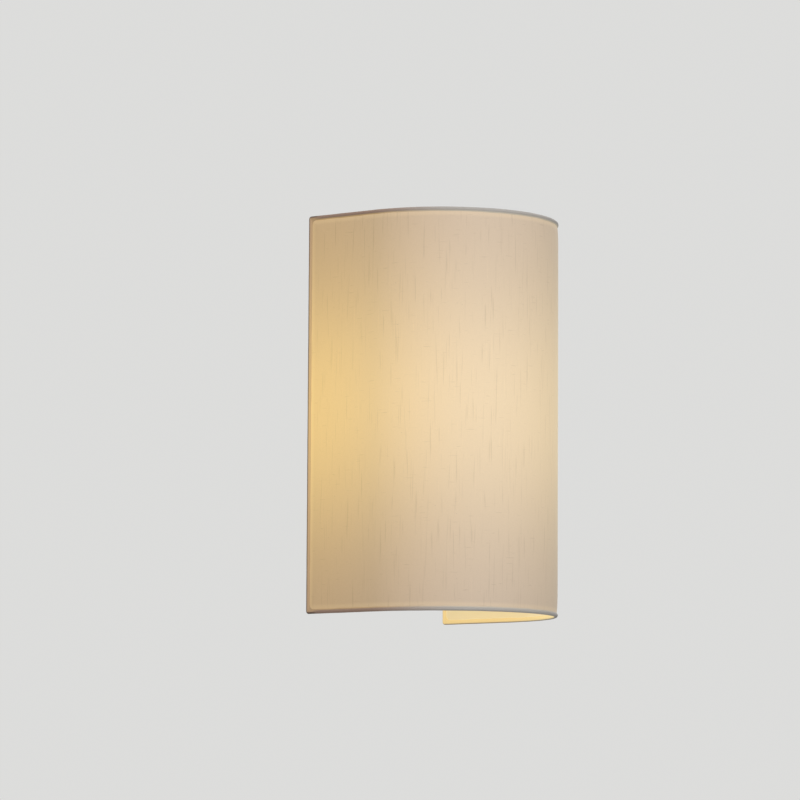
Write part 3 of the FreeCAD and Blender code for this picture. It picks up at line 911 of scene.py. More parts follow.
def swept(path: Array, side: Array, radius: float, columns: int) -> Skin:
    """Round wire along a path: P(u, a) = path(u) + r (cos a n(u) + sin a b(u)), closed at its ends.

    Args:
        path: Middle of the wire, n x 3.
        side: A direction across the wire at each point, n x 3.
        radius: Radius of the wire.
        columns: Points round the wire.

    Returns:
        The surface. Its UV is the share round the wire and the distance along it.
    """
    way = np.gradient(path, axis=0)
    way /= np.linalg.norm(way, axis=1, keepdims=True)
    normal = side - np.sum(side * way, 1, keepdims=True) * way
    normal /= np.linalg.norm(normal, axis=1, keepdims=True)
    angle = (np.arange(columns) * (2 * math.pi / columns))[None, :, None]
    ring = np.cos(angle) * normal[:, None] + np.sin(angle) * np.cross(way, normal)[:, None]
    ends = [np.repeat(path[k][None, None], columns, 1) for k in (0, -1)]
    points = np.concatenate([ends[0], path[:, None] + radius * ring, ends[1]])
    run = distances(path)
    run = np.concatenate([[0], run, [run[-1], run[-1]]])
    uv = np.stack(np.meshgrid(np.arange(columns + 1) / columns, run), -1)
    return Skin.grid(points, uv, False)


def eased(value: Array, low: float, high: float) -> Array:
    """Ease from 0 at low to 1 at high."""
    share = np.clip((value - low) / (high - low), 0, 1)
    return share * share * (3 - 2 * share)


@dataclass(frozen=True)
class Thread:
    """Right-handed rounded screw thread along the lamp axis, by default the lamp's own.

    A ridge is where 2 pi t / pitch - a is a whole number of turns, and it fades at both ends.

    Attributes:
        start: Distance from the wall at which it starts.
        end: Distance at which it ends.
        fade: Length over which it rises and falls.
        pitch: Advance for each turn.
        depth: Height of a ridge over the mean.
        over: Least radius that it moves.
        under: Largest radius that it moves.
    """

    start: float
    end: float
    fade: float
    pitch: float = 2.82 * MM
    depth: float = 0.33 * MM
    over: float = 0.0
    under: float = 1.0

    def __call__(self, radius: Array, along: Array, angle: Array) -> Array:
        """Work out the move of the radius.

        Args:
            radius: Radius at each point.
            along: Distance along the axis.
            angle: Angle about it.

        Returns:
            The move.
        """
        strength = eased(along, self.start, self.start + self.fade)
        strength = strength * eased(along, self.end, self.end - self.fade)
        strength = strength * ((radius > self.over) & (radius < self.under))
        return self.depth * strength * np.cos(2 * math.pi * along / self.pitch - angle)


@dataclass(frozen=True)
class Span:
    """What a frame node's box says of a piece on the lamp axis.

    Attributes:
        near: Distance from the wall to its near end.
        far: Distance from the wall to its far end.
        radius: Its largest radius.
    """

    near: float
    far: float
    radius: float

    @classmethod
    def of(cls, node: str) -> Span:
        """Measure a node."""
        low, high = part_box(node)
        return cls(-high[1], -low[1], high[0])


class Assembly:
    """A sub-assembly of the light.

    Attributes:
        kept: Frame nodes that keep their shape, with their finishes.
    """

    kept: dict[str, Finish] = {}

    def build(self, nodes: dict[str, bpy.types.Object]) -> None:
        """Make the new pieces, and give the kept nodes their finishes.

        Args:
            nodes: Objects of the frame's nodes.
        """
        self.make()
        for node, finish in self.kept.items():
            for holder in nodes[node].material_slots:
                holder.material = finish.material()
            LOG.info("node %s: %s", node, finish.slot)

    def make(self) -> None:
        """Make the new pieces, where it has any."""


# ---------------------------------------------------------------- shade
@dataclass(frozen=True)
class ShadePlan:
    """Plan of the shade's wall, and the unrolled wall: s runs round it from its front, z upwards.

    Attributes:
        radius: Radius of the wall's middle in front, and half the width between the flanks.
        arc_y: Y of the line where the flanks turn into the front.
        half_s: Half of the unrolled width, out to the wires beside the wall.
        half_z: Half of the height, out to the top and bottom wires.
    """

    radius: float
    arc_y: float
    half_s: float
    half_z: float

    @classmethod
    def measured(cls, wire_radius: float) -> ShadePlan:
        """Read the plan from the top frame wire's box.

        Args:
            wire_radius: Radius of the frame's wire.

        Returns:
            The plan.
        """
        low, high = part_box("top_frame_wire")
        radius = high[0] - wire_radius
        arc_y = low[1] + wire_radius + radius
        half_s = math.pi / 2 * radius + high[1] - wire_radius - arc_y
        return cls(radius, arc_y, half_s, high[2] - wire_radius)

    def place(self, s: Array, z: Array, offset: Array | float) -> Array:
        """Points of the wall.

        In front, P = arc centre + (R + a)(sin(s / R), -cos(s / R)), and the flanks run straight on.

        Args:
            s: Distance round the wall from its front.
            z: Height.
            offset: Distance a outwards from the wall's middle.

        Returns:
            The points, with a last axis of 3.
        """
        turn = np.clip(s / self.radius, -math.pi / 2, math.pi / 2)
        reach = self.radius + offset
        back = np.abs(s) - np.abs(turn) * self.radius
        x, y = reach * np.sin(turn), self.arc_y - reach * np.cos(turn) + back
        return np.stack(np.broadcast_arrays(x, y, z), -1)


@dataclass(frozen=True)
class TrimSection:
    """Cloth turned in over a frame wire: round outside, with two lips on the shade's wall.

    Attributes:
        outer: Radius outside.
        inner: Radius of the wire that it holds.
        wrap: Half angle that it covers, from its outermost line.
        lip: Distance from the wire's middle to the lips' edge.
        lip_outer: Height of the lips' edge off the wall's middle, outside.
        lip_inner: The same, inside.
        corner: Radius of the lips' edge at a corner of the shade.
        bend: Radius of the trim's middle line at a corner.
        round_points: Points of the section's round part.
    """

    outer: float = 1.3 * MM
    inner: float = 1.0 * MM
    wrap: float = math.radians(112)
    lip: float = 1.55 * MM
    lip_outer: float = 0.64 * MM
    lip_inner: float = 0.5 * MM
    corner: float = 3.0 * MM
    bend: float = 0.5 * MM
    round_points: int = 17

    def corner_path(self, half_s: float, half_z: float, steps: int) -> tuple[Array, Array, Array]:
        """Middle line, inward direction and lip along one corner of the unrolled shade.

        Both lines start on the flank, as far down as the lip's curve starts, and end on the top, as
        far in. The middle line goes straight, round its bend and straight again. The lip turns evenly.

        Args:
            half_s: Half of the unrolled width, at the wires.
            half_z: Half of the height, at the wires.
            steps: Points along the corner.

        Returns:
            Middle line, inward directions and lip, each steps x 2 in (s, z).
        """
        setback = self.lip + self.corner
        run = setback - self.bend
        arc = self.bend * math.pi / 2
        u = np.linspace(0, 2 * run + arc, steps)
        turn = np.clip((u - run) / self.bend, 0, math.pi / 2)
        before, after = np.minimum(u, run), np.maximum(u - run - arc, 0)
        centre = np.array([half_s - self.bend, half_z - self.bend])
        out = np.stack([np.cos(turn), np.sin(turn)], -1)
        wire = centre + self.bend * out + np.stack([-after, before - run], -1)
        even = np.linspace(0, math.pi / 2, steps)
        middle = np.array([half_s - setback, half_z - setback])
        lip = middle + self.corner * np.stack([np.cos(even), np.sin(even)], -1)
        return wire, -out, lip


class Edge(Enum):
    """The four edges of the shade."""

    TOP = "top"
    BOTTOM = "bottom"
    LEFT = "left"
    RIGHT = "right"


@dataclass
class Shade(Assembly):
    """The fabric shade with its liner, trims, wires and buffers.

    Attributes:
        plan: Plan of the wall.
        section: Section of the trims.
        cloth: Offsets of the cloth's two faces from the wall's middle.
        film: Offsets of the liner's two faces.
        grid: Columns and rows of the cloth.
        runs: Points along a straight flank edge, along a corner, and along the top.
        waver: Height of the slow waves of the wall.
        long_waves: Share, radians per metre round the wall and upwards, and phase of each of them.
        rise: Height of the wall's swelling outside the wires.
        rise_run: Distance over which it swells.
        uneven: Largest move of the lips' edge.
        buffer_width: Width of a rubber buffer.
        rib_pitch: Distance between the grooves round it.
    """

    plan: ShadePlan
    section: TrimSection = field(default_factory=TrimSection)
    cloth: tuple[float, float] = (0.5 * MM, 0.1 * MM)
    film: tuple[float, float] = (0.1 * MM, -0.5 * MM)
    grid: tuple[int, int] = (300, 110)
    runs: tuple[int, int, int] = (110, 60, 300)
    waver: float = 0.12 * MM
    long_waves: tuple[tuple[float, ...], ...] = (
        (1.0, 41.0, 9.0, 0.7), (0.7, 87.0, -17.0, 0.0), (0.5, 19.0, 33.0, 0.0)
    )
    rise: float = 0.65 * MM
    rise_run: float = 4.0 * MM
    uneven: float = 0.09 * MM
    buffer_width: float = 8.0 * MM
    rib_pitch: float = 2.0 * MM

    kept = {f"{edge.value}_frame_wire": WIRE for edge in Edge}
    kept |= {"hanger_bar": WIRE, "buffer_stubs": WIRE}

    def waves(self, s: Array, z: Array) -> Array:
        """Move of the wall outwards: three long waves, which die out towards the wires, and a swelling.

        At a distance d from the wires' outside, the swelling is rise (1 - exp(-d / rise_run)).

        Args:
            s: Distance round the wall from its front.
            z: Height.

        Returns:
            The move.
        """
        calm = (1 - (s / self.plan.half_s) ** 8) * (1 - (z / self.plan.half_z) ** 8)
        waves = sum(high * np.sin(k * s + m * z + phase) for high, k, m, phase in self.long_waves)
        from_edge = np.minimum(self.plan.half_s - np.abs(s), self.plan.half_z - np.abs(z))
        swelling = self.rise * (1 - np.exp((self.section.outer - from_edge) / self.rise_run))
        return self.waver / sum(wave[0] for wave in self.long_waves) * waves * calm + swelling

    def layer(self, offsets: tuple[float, float]) -> Skin:
        """One layer of the wall between two offsets, as a closed sheet.

        The grid is closer near the edges: with u from -1 to 1, a place is half (u + sin(pi u / 2)) / 2.

        Args:
            offsets: Outer and inner offset from the wall's middle.

        Returns:
            The sheet. Its UV is the unrolled place in metres.
        """
        reach = self.section.outer
        half_s, half_z = self.plan.half_s - reach, self.plan.half_z - reach
        shares = (np.linspace(-1, 1, count) for count in self.grid)
        columns, rows = ((u + np.sin(math.pi / 2 * u)) / 2 for u in shares)
        s, z = np.meshgrid(half_s * columns, half_z * rows, indexing="ij")
        waves = self.waves(s, z)
        outer, inner = (self.plan.place(s, z, offset + waves) for offset in offsets)
        return Skin.sheet(outer, inner, np.stack([s, z], -1))

    def edge_lines(self, edge: Edge) -> tuple[Array, Array, Array]:
        """Wire, inward direction and lip along one edge of the unrolled shade.

        Args:
            edge: Which edge. The top and bottom edges carry the corners.

        Returns:
            Wire points, inward directions and lip points, each n x 2 in (s, z).
        """
        half_s, half_z = self.plan.half_s, self.plan.half_z
        start = self.section.lip + self.section.corner
        flank_points, corner_points, top_points = self.runs
        if edge in (Edge.LEFT, Edge.RIGHT):
            side = 1 if edge is Edge.RIGHT else -1
            z = np.linspace(start - half_z, half_z - start, flank_points)
            inward = np.stack([np.full_like(z, -side), np.zeros_like(z)], -1)
            wire = np.stack([np.full_like(z, side * half_s), z], -1)
            return wire, inward, wire + self.section.lip * inward
        wire, inward, lip = self.section.corner_path(half_s, half_z, corner_points)
        s = np.linspace(half_s - start, start - half_s, top_points)[1:-1]
        straight = np.stack([s, np.full_like(s, half_z)], -1)
        down = np.stack([np.zeros_like(s), -np.ones_like(s)], -1)
        straights = (straight, down, straight + self.section.lip * down)
        mirror, flip = np.array([-1.0, 1.0]), [1, -1 if edge is Edge.BOTTOM else 1]
        return tuple(
            np.concatenate([corner, middle, (corner * mirror)[::-1]]) * flip
            for corner, middle in zip((wire, inward, lip), straights)
        )

    def trim(self, edge: Edge) -> Skin:
        """Trim along one edge: the section is carried along the edge of the unrolled shade.

        A point of the round part is wire + inward b at the offset a, with (a, b) on the circle. From
        there the section runs straight to the lip. Slow noise moves the lip's edge and the round.

        Args:
            edge: Which edge.

        Returns:
            The trim as a closed sheet. Its UV runs along the trim and round it, from the inner lip.
        """
        section = self.section
        wire, inward, lip = self.edge_lines(edge)
        run, end = distances(wire), 6.0 * MM
        noise = np.sin(190 * run + 1.1) * np.sin(67 * run) + 0.6 * np.sin(431 * run + 2.0)
        calm = eased(run, 0, end) * eased(run, run[-1], run[-1] - end)
        push = (self.uneven * noise * calm)[:, None]
        angle = np.linspace(-section.wrap, section.wrap, section.round_points)
        edge_at = (lip + inward * push)[:, None]
        faces = []
        for radius, height in ((section.outer, section.lip_outer), (section.inner, section.lip_inner)):
            swell = radius + 0.25 * push * (radius == section.outer)
            round_a, round_b = swell * np.sin(angle), -swell * np.cos(angle)
            middle = wire[:, None] + inward[:, None] * round_b[..., None]
            side = np.full((len(wire), 1), height)
            flat, rise = self.eased_lips(
                np.concatenate([edge_at, middle, edge_at], 1), np.concatenate([-side, round_a, side], 1)
            )
            faces.append(self.plan.place(flat[..., 0], flat[..., 1], rise))
        around = np.linspace(-1, 1, faces[0].shape[1]) * (section.wrap * section.outer + section.lip)
        uv = np.stack(np.broadcast_arrays(run[:, None], around[None]), -1)
        return Skin.sheet(faces[0], faces[1], uv)

    @staticmethod
    def eased_lips(flat: Array, rise: Array) -> tuple[Array, Array]:
        """Add points along both lips, so that the cloth runs out in a hollow curve.

        With w the share from the round to the lip's edge, the rise follows w to the power 0.7.

        Args:
            flat: Unrolled places, n x k x 2.
            rise: Offsets from the wall's middle, n x k.

        Returns:
            The same with four more points in each lip.
        """
        w = np.linspace(0, 1, 6)[1:-1]
        grids = []
        for grid, share in ((flat, w[None, :, None]), (rise, w[None] ** 0.7)):
            first = grid[:, 1:2] + (grid[:, :1] - grid[:, 1:2]) * share[:, ::-1]
            last = grid[:, -2:-1] + (grid[:, -1:] - grid[:, -2:-1]) * share
            grids.append(np.concatenate([grid[:, :1], first, grid[:, 1:-1], last, grid[:, -1:]], 1))
        return grids[0], grids[1]

    def buffer(self, side: float) -> Skin:
        """Ribbed rubber ring on its stub, turned about an axis along X.

        Args:
            side: -1 or 1 for the left or right ring.

        Returns:
            The ring's surface.
        """
        low, high = (np.array(corner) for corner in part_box("wall_buffers"))
        radius, bore = (high[2] - low[2]) / 2, self.section.inner
        centre = (0.0, (low[1] + high[1]) / 2, (low[2] + high[2]) / 2)
        far, near = high[0], high[0] - self.buffer_width
        corners = [[bore, near], [radius, near], [radius, far], [bore, far]]
        plain, full = 0.8 * MM, 1.6 * MM

        def ribs(r: Array, t: Array, a: Array) -> Array:
            """Shallow grooves round the ring's outside, away from its ends."""
            middle = eased(t, near + plain, near + full) * eased(t, far - plain, far - full)
            return (
                -0.18 * MM * (1 + np.cos(2 * math.pi * (t - near) / self.rib_pitch))
                * middle * (r > 0.8 * radius)
            )

        axis = Axis((side, 0.0, 0.0), (0.0, 1.0, 0.0), (0.0, 0.0, 1.0), centre)
        outline = outlined(corners, radius=0.9 * MM, step=0.25 * MM)
        return turned(outline, columns=64, relief=ribs, axis=axis)

    def make(self) -> None:
        half = (self.plan.half_s - self.section.lip, self.plan.half_z - self.section.lip)
        cloth = LitCloth("cream_fabric", CLOTH_COLOUR, FLANK_SHADE_AND_WARM_LIGHT, CLOTH_GLOW, half)
        trims = [
            self.trim(Edge(name)).piece(f"{name}_trim", EDGE_CLOTH, Part.SHADE, (f"{name}_edge_trim",))
            for name in (edge.value for edge in Edge)
        ]
        cover = self.layer(self.cloth).piece("cloth_cover", cloth, Part.SHADE, ("fabric_cover",))
        liner = self.layer(self.film).piece("film_liner", FILM, Part.SHADE, ("shade_liner",))
        rings = self.buffer(-1.0).with_other(self.buffer(1.0))
        rings.piece("buffer_rings", CLEAR_RUBBER, Part.SHADE, ("wall_buffers",))


# ---------------------------------------------------------------- wall plate and canopy
class WallUnit(Assembly):
    """The wall plate, the canopy and what passes the mains cable."""

    kept = {"wall_plate": STEEL, "canopy": STEEL, "canopy_screws": ZINC, "cable_grommet": BLACK_RUBBER}


# ---------------------------------------------------------------- lampholder
@dataclass(frozen=True)
class Lampholder(Assembly):
    """The screw lampholder and the threaded nipple that holds it.

    Attributes:
        shell_bore: Radius inside the thread shell.
        shell_wall: Thickness of the thread shell.
        sleeve_wall: Thickness of the front sleeve.
        mouth: Outer radius of the sleeve's front.
        mouth_bore: Radius of its opening.
        grip_ribs: Ribs round the sleeve.
        nipple_bore: Radius inside the nipple.
        nipple_pitch: Pitch of the nipple's thread.
        nut_flats: Width of the nut across its flats.
    """

    shell_bore: float = 7.0 * MM
    shell_wall: float = 0.35 * MM
    sleeve_wall: float = 1.4 * MM
    mouth: float = 13.0 * MM
    mouth_bore: float = 9.3 * MM
    grip_ribs: int = 36
    nipple_bore: float = 3.5 * MM
    nipple_pitch: float = 1.0 * MM
    nut_flats: float = 14.0 * MM

    kept = {
        "lampholder_base": HOLDER, "contact_block": STEATITE, "centre_contact": BRONZE,
        "nipple_washer": ZINC,
    }

    def shell(self) -> Skin:
        """Brass thread shell: a flange, and a tube whose wall follows the lamp thread.

        Returns:
            The surface.
        """
        span, bore, wall = Span.of("thread_shell"), self.shell_bore, self.shell_wall
        corners = [
            [bore, span.near], [span.radius, span.near], [span.radius, span.near + wall],
            [bore + wall, span.near + wall], [bore + wall, span.far], [bore, span.far],
        ]
        thread = Thread(
            start=span.near + 2.2 * MM, end=span.far - 1.2 * MM, fade=1.4 * MM, under=8.0 * MM
        )
        outline = outlined(corners, radius=0.14 * MM, step=0.28 * MM, steps=3)
        return turned(outline, columns=96, relief=thread)

    def sleeve(self) -> Skin:
        """Front sleeve: a spigot in the cup, a slight taper with grip ribs, and a lip.

        Returns:
            The surface.
        """
        span, cup = Span.of("lampholder_skirt"), Span.of("lampholder_base")
        spigot, wall, lip = span.radius - 2.3 * MM, self.sleeve_wall, 1.2 * MM
        corners = [
            [spigot - wall, span.near], [spigot, span.near], [spigot, cup.far], [span.radius, cup.far],
            [self.mouth, span.far], [self.mouth_bore, span.far], [self.mouth_bore, span.far - lip],
            [self.mouth - wall, span.far - lip], [spigot - wall, cup.far - lip],
        ]

        def ribs(r: Array, t: Array, a: Array) -> Array:
            """Shallow flutes along the rear part of the sleeve's outside."""
            rear = eased(t - cup.far, 0.9 * MM, 1.8 * MM) * eased(t - cup.far, 12.0 * MM, 10.5 * MM)
            return -0.16 * MM * (1 + np.cos(self.grip_ribs * a)) * rear * (r > spigot + 0.2 * MM)

        return turned(outlined(corners, radius=0.45 * MM, step=0.7 * MM), columns=288, relief=ribs)

    def nipple(self) -> Skin:
        """Threaded tube through the canopy.

        Returns:
            The surface.
        """
        span, bore, end = Span.of("threaded_nipple"), self.nipple_bore, 0.2 * MM
        outer = span.radius - 0.28 * MM
        corners = [[bore, span.near], [outer, span.near], [outer, span.far], [bore, span.far]]
        thread = Thread(
            start=span.near + end, end=span.far - end, fade=0.6 * MM, pitch=self.nipple_pitch,
            depth=0.26 * MM, over=4.2 * MM,
        )
        outline = outlined(corners, radius=0.4 * MM, step=0.125 * MM, steps=3)
        return turned(outline, columns=60, relief=thread)

    def nut(self) -> Skin:
        """Hexagon nut: the least of a hexagon, flats / 2 / cos(a), and a cone on both faces.

        Returns:
            The surface.
        """
        span, bore, chamfer = Span.of("nipple_nut"), 5.0 * MM, 0.5 * MM
        flat, point, sixth = self.nut_flats / 2, self.nut_flats / math.sqrt(3), math.pi / 3
        corners = [
            [bore, span.near], [0.97 * flat, span.near], [point, span.near + chamfer],
            [point, span.far - chamfer], [0.97 * flat, span.far], [bore, span.far],
        ]

        def hexagon(r: Array, t: Array, a: Array) -> Array:
            """Cut the round outline back to the hexagon."""
            return np.minimum(r, flat / np.cos(a - sixth * np.round(a / sixth))) - r

        outline = outlined(corners, radius=0.08 * MM, step=0.4 * MM, steps=2)
        return turned(outline, columns=120, relief=hexagon)

    def make(self) -> None:
        """Make the shell, the sleeve, the nipple and the nut."""
        self.shell().piece("brass_thread_shell", BRASS, Part.WALL_UNIT, ("thread_shell",), 60.0)
        self.sleeve().piece("holder_sleeve", HOLDER, Part.WALL_UNIT, ("lampholder_skirt",))
        self.nipple().piece("nipple_tube", ZINC, Part.WALL_UNIT, ("threaded_nipple",), 60.0)
        self.nut().piece("hexagon_nut", ZINC, Part.WALL_UNIT, ("nipple_nut",), 20.0)


# ---------------------------------------------------------------- bulb
@dataclass(frozen=True)
class Bulb(Assembly):
    """The small round opal bulb with its screw cap and coiled filament.

    Attributes:
        neck: Radius of the glass neck.
        blend: Radius of the hollow curve between neck and globe.
        glass: Thickness of the glass.
        sleeve: Mean radius of the cap's threaded sleeve.
        sheet: Thickness of the cap.
        coil_pitch: Pitch of the filament's coil.
        coil_wire: Radius of the filament's wire.
    """

    neck: float = 8.0 * MM
    blend: float = 14.0 * MM
    glass: float = 0.8 * MM
    sleeve: float = 6.6 * MM
    sheet: float = 0.3 * MM
    coil_pitch: float = 0.34 * MM
    coil_wire: float = 0.05 * MM

    kept = {
        "bulb_insulator": BLACK_GLASS, "bulb_stem": GLASS, "bulb_leads": LEADS,
        "bulb_tip_contact": SOLDER,
    }

    def half_outline(self, span: Span, inset: float) -> Array:
        """Outline from the front pole back to the neck's end, moved in by an inset.

        The globe is an arc about its middle, and a hollow arc about a point beside the neck joins
        it to the neck.

        Args:
            span: Box of the glass.
            inset: Distance inwards.

        Returns:
            (radius, distance) points.
        """
        globe, middle = span.radius - inset, span.far - span.radius
        neck, blend = self.neck - inset, self.blend + inset
        reach = math.sqrt((globe + blend) ** 2 - (neck + blend) ** 2)
        tilt = math.atan2(neck + blend, -reach)
        turn = np.linspace(0, tilt, 44)
        front = np.stack([globe * np.sin(turn), middle + globe * np.cos(turn)], -1)
        back = np.linspace(tilt - math.pi, -math.pi / 2, 16)[1:]
        hollow = [neck + blend + blend * np.sin(back), middle - reach + blend * np.cos(back)]
        return np.concatenate([front, np.stack(hollow, -1), [[neck, span.near]]])

    def globe(self) -> Skin:
        """Glass wall: outside from pole to neck, and back inside to the inner pole.

        Returns:
            The surface.
        """
        outer, inner = (self.half_outline(Span.of("bulb_glass"), inset) for inset in (0.0, self.glass))
        return turned(np.concatenate([outer, inner[::-1]]), columns=96, closed=False)

    def cap(self) -> Skin:
        """Nickel cap: a thin sleeve that follows the lamp thread, with a wider flange.

        Returns:
            The surface.
        """
        span, sleeve, inside = Span.of("bulb_cap"), self.sleeve, self.sleeve - self.sheet
        flange, cone = span.far - 2.0 * MM, span.far - 5.0 * MM
        corners = [
            [inside, span.near], [sleeve, span.near], [sleeve, cone], [span.radius, flange],
            [span.radius, span.far], [self.neck, span.far], [self.neck, span.far - 1.5 * MM],
            [inside, cone],
        ]
        thread = Thread(start=span.near + 0.4 * MM, end=cone - 0.2 * MM, fade=1.6 * MM)
        return turned(outlined(corners, radius=0.5 * MM, step=0.28 * MM), columns=96, relief=thread)

    def filament(self) -> Skin:
        """Helix about a sagging arc: arc(u) + R (cos w side(u) + sin w Z), with w even along u.

        Returns:
            The surface.
        """
        low, high = (np.array(corner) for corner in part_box("bulb_filament"))
        coil, end = (high[2] - low[2]) / 2, 0.35 * MM
        half, sag = high[0] - end, high[1] - low[1] - 2 * coil
        bow = (half**2 + sag**2) / (2 * sag)
        edge = math.asin(min(1.0, half / bow))
        turns = int(2 * edge * bow / self.coil_pitch)
        u = np.linspace(-edge, edge, 12 * turns)
        w = 2 * math.pi * turns * (u + edge) / (2 * edge)
        out = np.stack([np.sin(u), -np.cos(u), np.zeros_like(u)], -1)
        side = np.cos(w)[:, None] * out + np.sin(w)[:, None] * np.array([0.0, 0.0, 1.0])
        centre = np.array([0.0, low[1] + coil + bow, 0.0])
        path = centre + bow * out + (coil - self.coil_wire) * side
        return swept(path, side, self.coil_wire, columns=6)

    def make(self) -> None:
        """Make the globe, the cap and the filament."""
        self.globe().piece("opal_globe", OPAL, Part.BULB, ("bulb_glass",), 60.0)
        self.cap().piece("screw_cap", NICKEL, Part.BULB, ("bulb_cap",), 60.0)
        self.filament().piece("coiled_filament", TUNGSTEN, Part.BULB, ("bulb_filament",), 60.0)


# ---------------------------------------------------------------- wiring
@dataclass(frozen=True)
class Wiring(Assembly):
    """Terminal block, inner wires and the earth screw behind the canopy.

    Attributes:
        radius: Radius of the earth wire.
        bend: Setback of its curves from the corners of its run.
    """

    radius: float = 1.1 * MM
    bend: float = 2.0 * MM

    kept = {
        "terminal_block": NYLON, "terminal_inserts": INSERTS, "terminal_screws": ZINC,
        "terminal_fixing_screw": ZINC, "live_wire": BROWN, "neutral_wire": BLUE, "earth_tag": TINNED,
        "earth_washer": ZINC, "earth_screw": ZINC,
    }

    def earth_lead(self) -> Skin:
        """Green and yellow wire along a smooth curve through the corners of its run.

        Returns:
            The surface.
        """
        low, high = (np.array(corner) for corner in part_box("earth_wire"))
        tag_low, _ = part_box("earth_tag")
        x0, x1 = low[0] + self.radius, high[0]
        y0, y1 = low[1] + self.radius, high[1] - self.radius
        z0, z1 = low[2], high[2] - self.radius
        run = np.array([[x0, y0, z0], [x0, y0, z1], [tag_low[0], y1, z1], [x1, y1, z1]])
        curve = bends(run[:-2], run[1:-1], run[2:], self.bend, steps=8)
        path = np.concatenate([run[:1], curve, run[-1:]])
        across = np.broadcast_to(np.array([0.15, 1.0, 0.1]), path.shape)
        return swept(path, across, self.radius, columns=20)

    def make(self) -> None:
        """Make the earth wire."""
        self.earth_lead().piece("earth_lead", EARTH, Part.WALL_UNIT, ("earth_wire",), 60.0)


# ---------------------------------------------------------------- studio
def stand(name: str, data: bpy.types.ID, axes: tuple) -> bpy.types.Object:
    """Add a camera or a light to the scene.

    Args:
        name: Name of the object.
        data: Its data.
        axes: Its x, y and z axis, and its place.

    Returns:
        The object.
    """
    turn = np.eye(4)
    turn[:3] = np.stack(axes, -1)
    obj = bpy.data.objects.new(name, data)
    obj.matrix_world = Matrix(turn.tolist())
    bpy.context.scene.collection.objects.link(obj)
    return obj


@dataclass(frozen=True)
class Softbox:
    """A square area light that faces the lamp.

    Attributes:
        name: Its name.
        place: Its place.
        size: Its side in metres.
        watts: Its power.
        colour: Its colour.
        aim: The point that it faces.
    """

    name: str
    place: Colour
    size: float
    watts: float
    colour: Colour = (1.0, 0.99, 0.98)
    aim: Colour = (0.0, -0.06, 0.0)

    def build(self) -> None:
        """Add the light. Its axes are side = Z x back, back x side, and back, away from its aim."""
        data = bpy.data.lights.new(self.name, "AREA")
        data.shape, data.size, data.energy, data.color = "SQUARE", self.size, self.watts, self.colour
        back = np.array(self.place) - self.aim
        back /= np.linalg.norm(back)
        side = np.cross((0.0, 0.0, 1.0), back)
        side /= np.linalg.norm(side)
        stand(self.name, data, (side, np.cross(back, side), back, self.place))


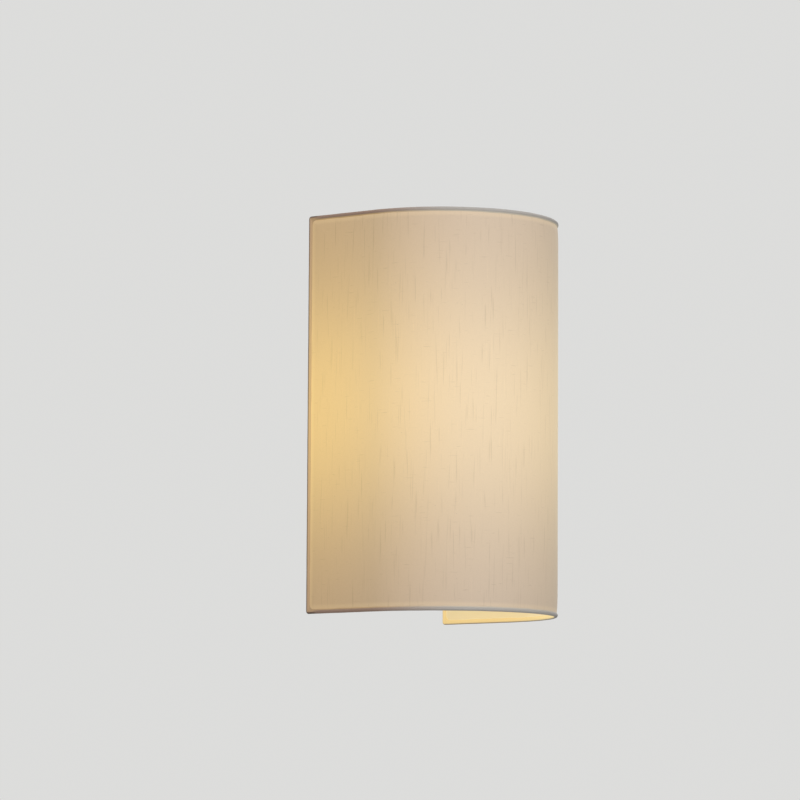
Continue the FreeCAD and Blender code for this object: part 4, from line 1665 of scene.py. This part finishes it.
@dataclass(frozen=True)
class Studio:
    """Camera, lights, floor and background.

    Attributes:
        eye: Place of the camera.
        forward: Direction that it looks in.
        right: Direction to the picture's right.
        lens: Focal length in millimetres.
        sensor: Width of the sensor in millimetres.
        ambient: Light of the surroundings.
        backdrop: Brightness of the background.
        floor_z: Height of the floor.
        floor_half: Half of the floor's side.
        floor_colours: The floor's colour, and the colour of its clouds.
        softboxes: The lights.
    """

    eye: Colour = (-2.2319, -1.7167, -0.2838)
    forward: Colour = (0.7918032, 0.6015519, 0.1057499)
    right: Colour = (0.6044635, -0.7966134, 0.0055619)
    lens: float = 199.3
    sensor: float = 36.0
    ambient: Colour = (0.25, 0.25, 0.25)
    backdrop: Colour = (0.72, 0.72, 0.71)
    floor_z: float = -1.5
    floor_half: float = 12.0
    floor_colours: tuple[Colour, Colour] = ((0.70, 0.70, 0.69), (0.72, 0.72, 0.71))
    softboxes: tuple[Softbox, ...] = (
        Softbox("key", (-1.33, -1.90, 0.75), 1.4, 44.0, (1.0, 0.985, 0.97)),
        Softbox("side", (2.0, 0.5, 0.9), 1.4, 11.0),
        Softbox("back", (0.3, 2.3, 0.8), 1.4, 11.0),
        Softbox("top", (0.1, -0.2, 2.4), 1.2, 14.0),
    )

    def camera(self) -> None:
        """Place the camera: its axes are right, up = right x forward, and backwards."""
        data = bpy.data.cameras.new("camera")
        data.lens, data.sensor_width = self.lens, self.sensor
        data.clip_start, data.clip_end = 0.05, 100.0
        forward = np.array(self.forward) / np.linalg.norm(self.forward)
        right = np.array(self.right) / np.linalg.norm(self.right)
        axes = (right, np.cross(right, forward), -forward, self.eye)
        bpy.context.scene.camera = stand("camera", data, axes)

    def surroundings(self) -> None:
        """Even light from all round, and a pale background for what looks straight at it."""
        world = bpy.data.worlds.new("surroundings")
        bpy.context.scene.world = world
        g = Graph(world)
        colours = (self.ambient, self.backdrop)
        light, pale = (g.add("Background", {"Color": colour}) for colour in colours)
        g.end("World", g.add("MixShader", {0: g.seen(), 1: light, 2: pale}))

    def floor(self) -> None:
        """Large pale floor far below the light, which mostly shows an even colour."""
        mesh = bpy.data.meshes.new("floor")
        corners = np.array([[-1, -1, 0], [1, -1, 0], [1, 1, 0], [-1, 1, 0]]) * self.floor_half
        mesh.from_pydata((corners + [0, 0, self.floor_z]).tolist(), [], [[0, 1, 2, 3]])
        g = Graph(bpy.data.materials.new("floor"))
        clouds = g.noise(g.point("Object"), scale=1.5)
        painted = g.shader(Base_Color=g.mixed(clouds, *self.floor_colours), Roughness=0.9)
        even = g.add("Emission", {"Color": self.floor_colours[0]})
        g.end("Material", g.add("MixShader", {0: 0.72 * g.seen(), 1: painted, 2: even}))
        mesh.materials.append(g.owner)
        obj = bpy.data.objects.new("floor", mesh)
        bpy.context.scene.collection.objects.link(obj)

    def build(self) -> None:
        """Set up the camera, the background, the floor and the lights."""
        bpy.context.scene.view_settings.view_transform = "Standard"
        self.camera()
        self.surroundings()
        self.floor()
        for softbox in self.softboxes:
            softbox.build()


def main() -> None:
    """Load the frame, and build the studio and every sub-assembly in order."""
    logging.basicConfig(level=logging.INFO, format="%(message)s")
    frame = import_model()
    Studio().build()
    shade = Shade(ShadePlan.measured(TrimSection.inner))
    for assembly in (shade, WallUnit(), Lampholder(), Bulb(), Wiring()):
        assembly.build(frame["nodes"])


if __name__ == "__main__":
    main()
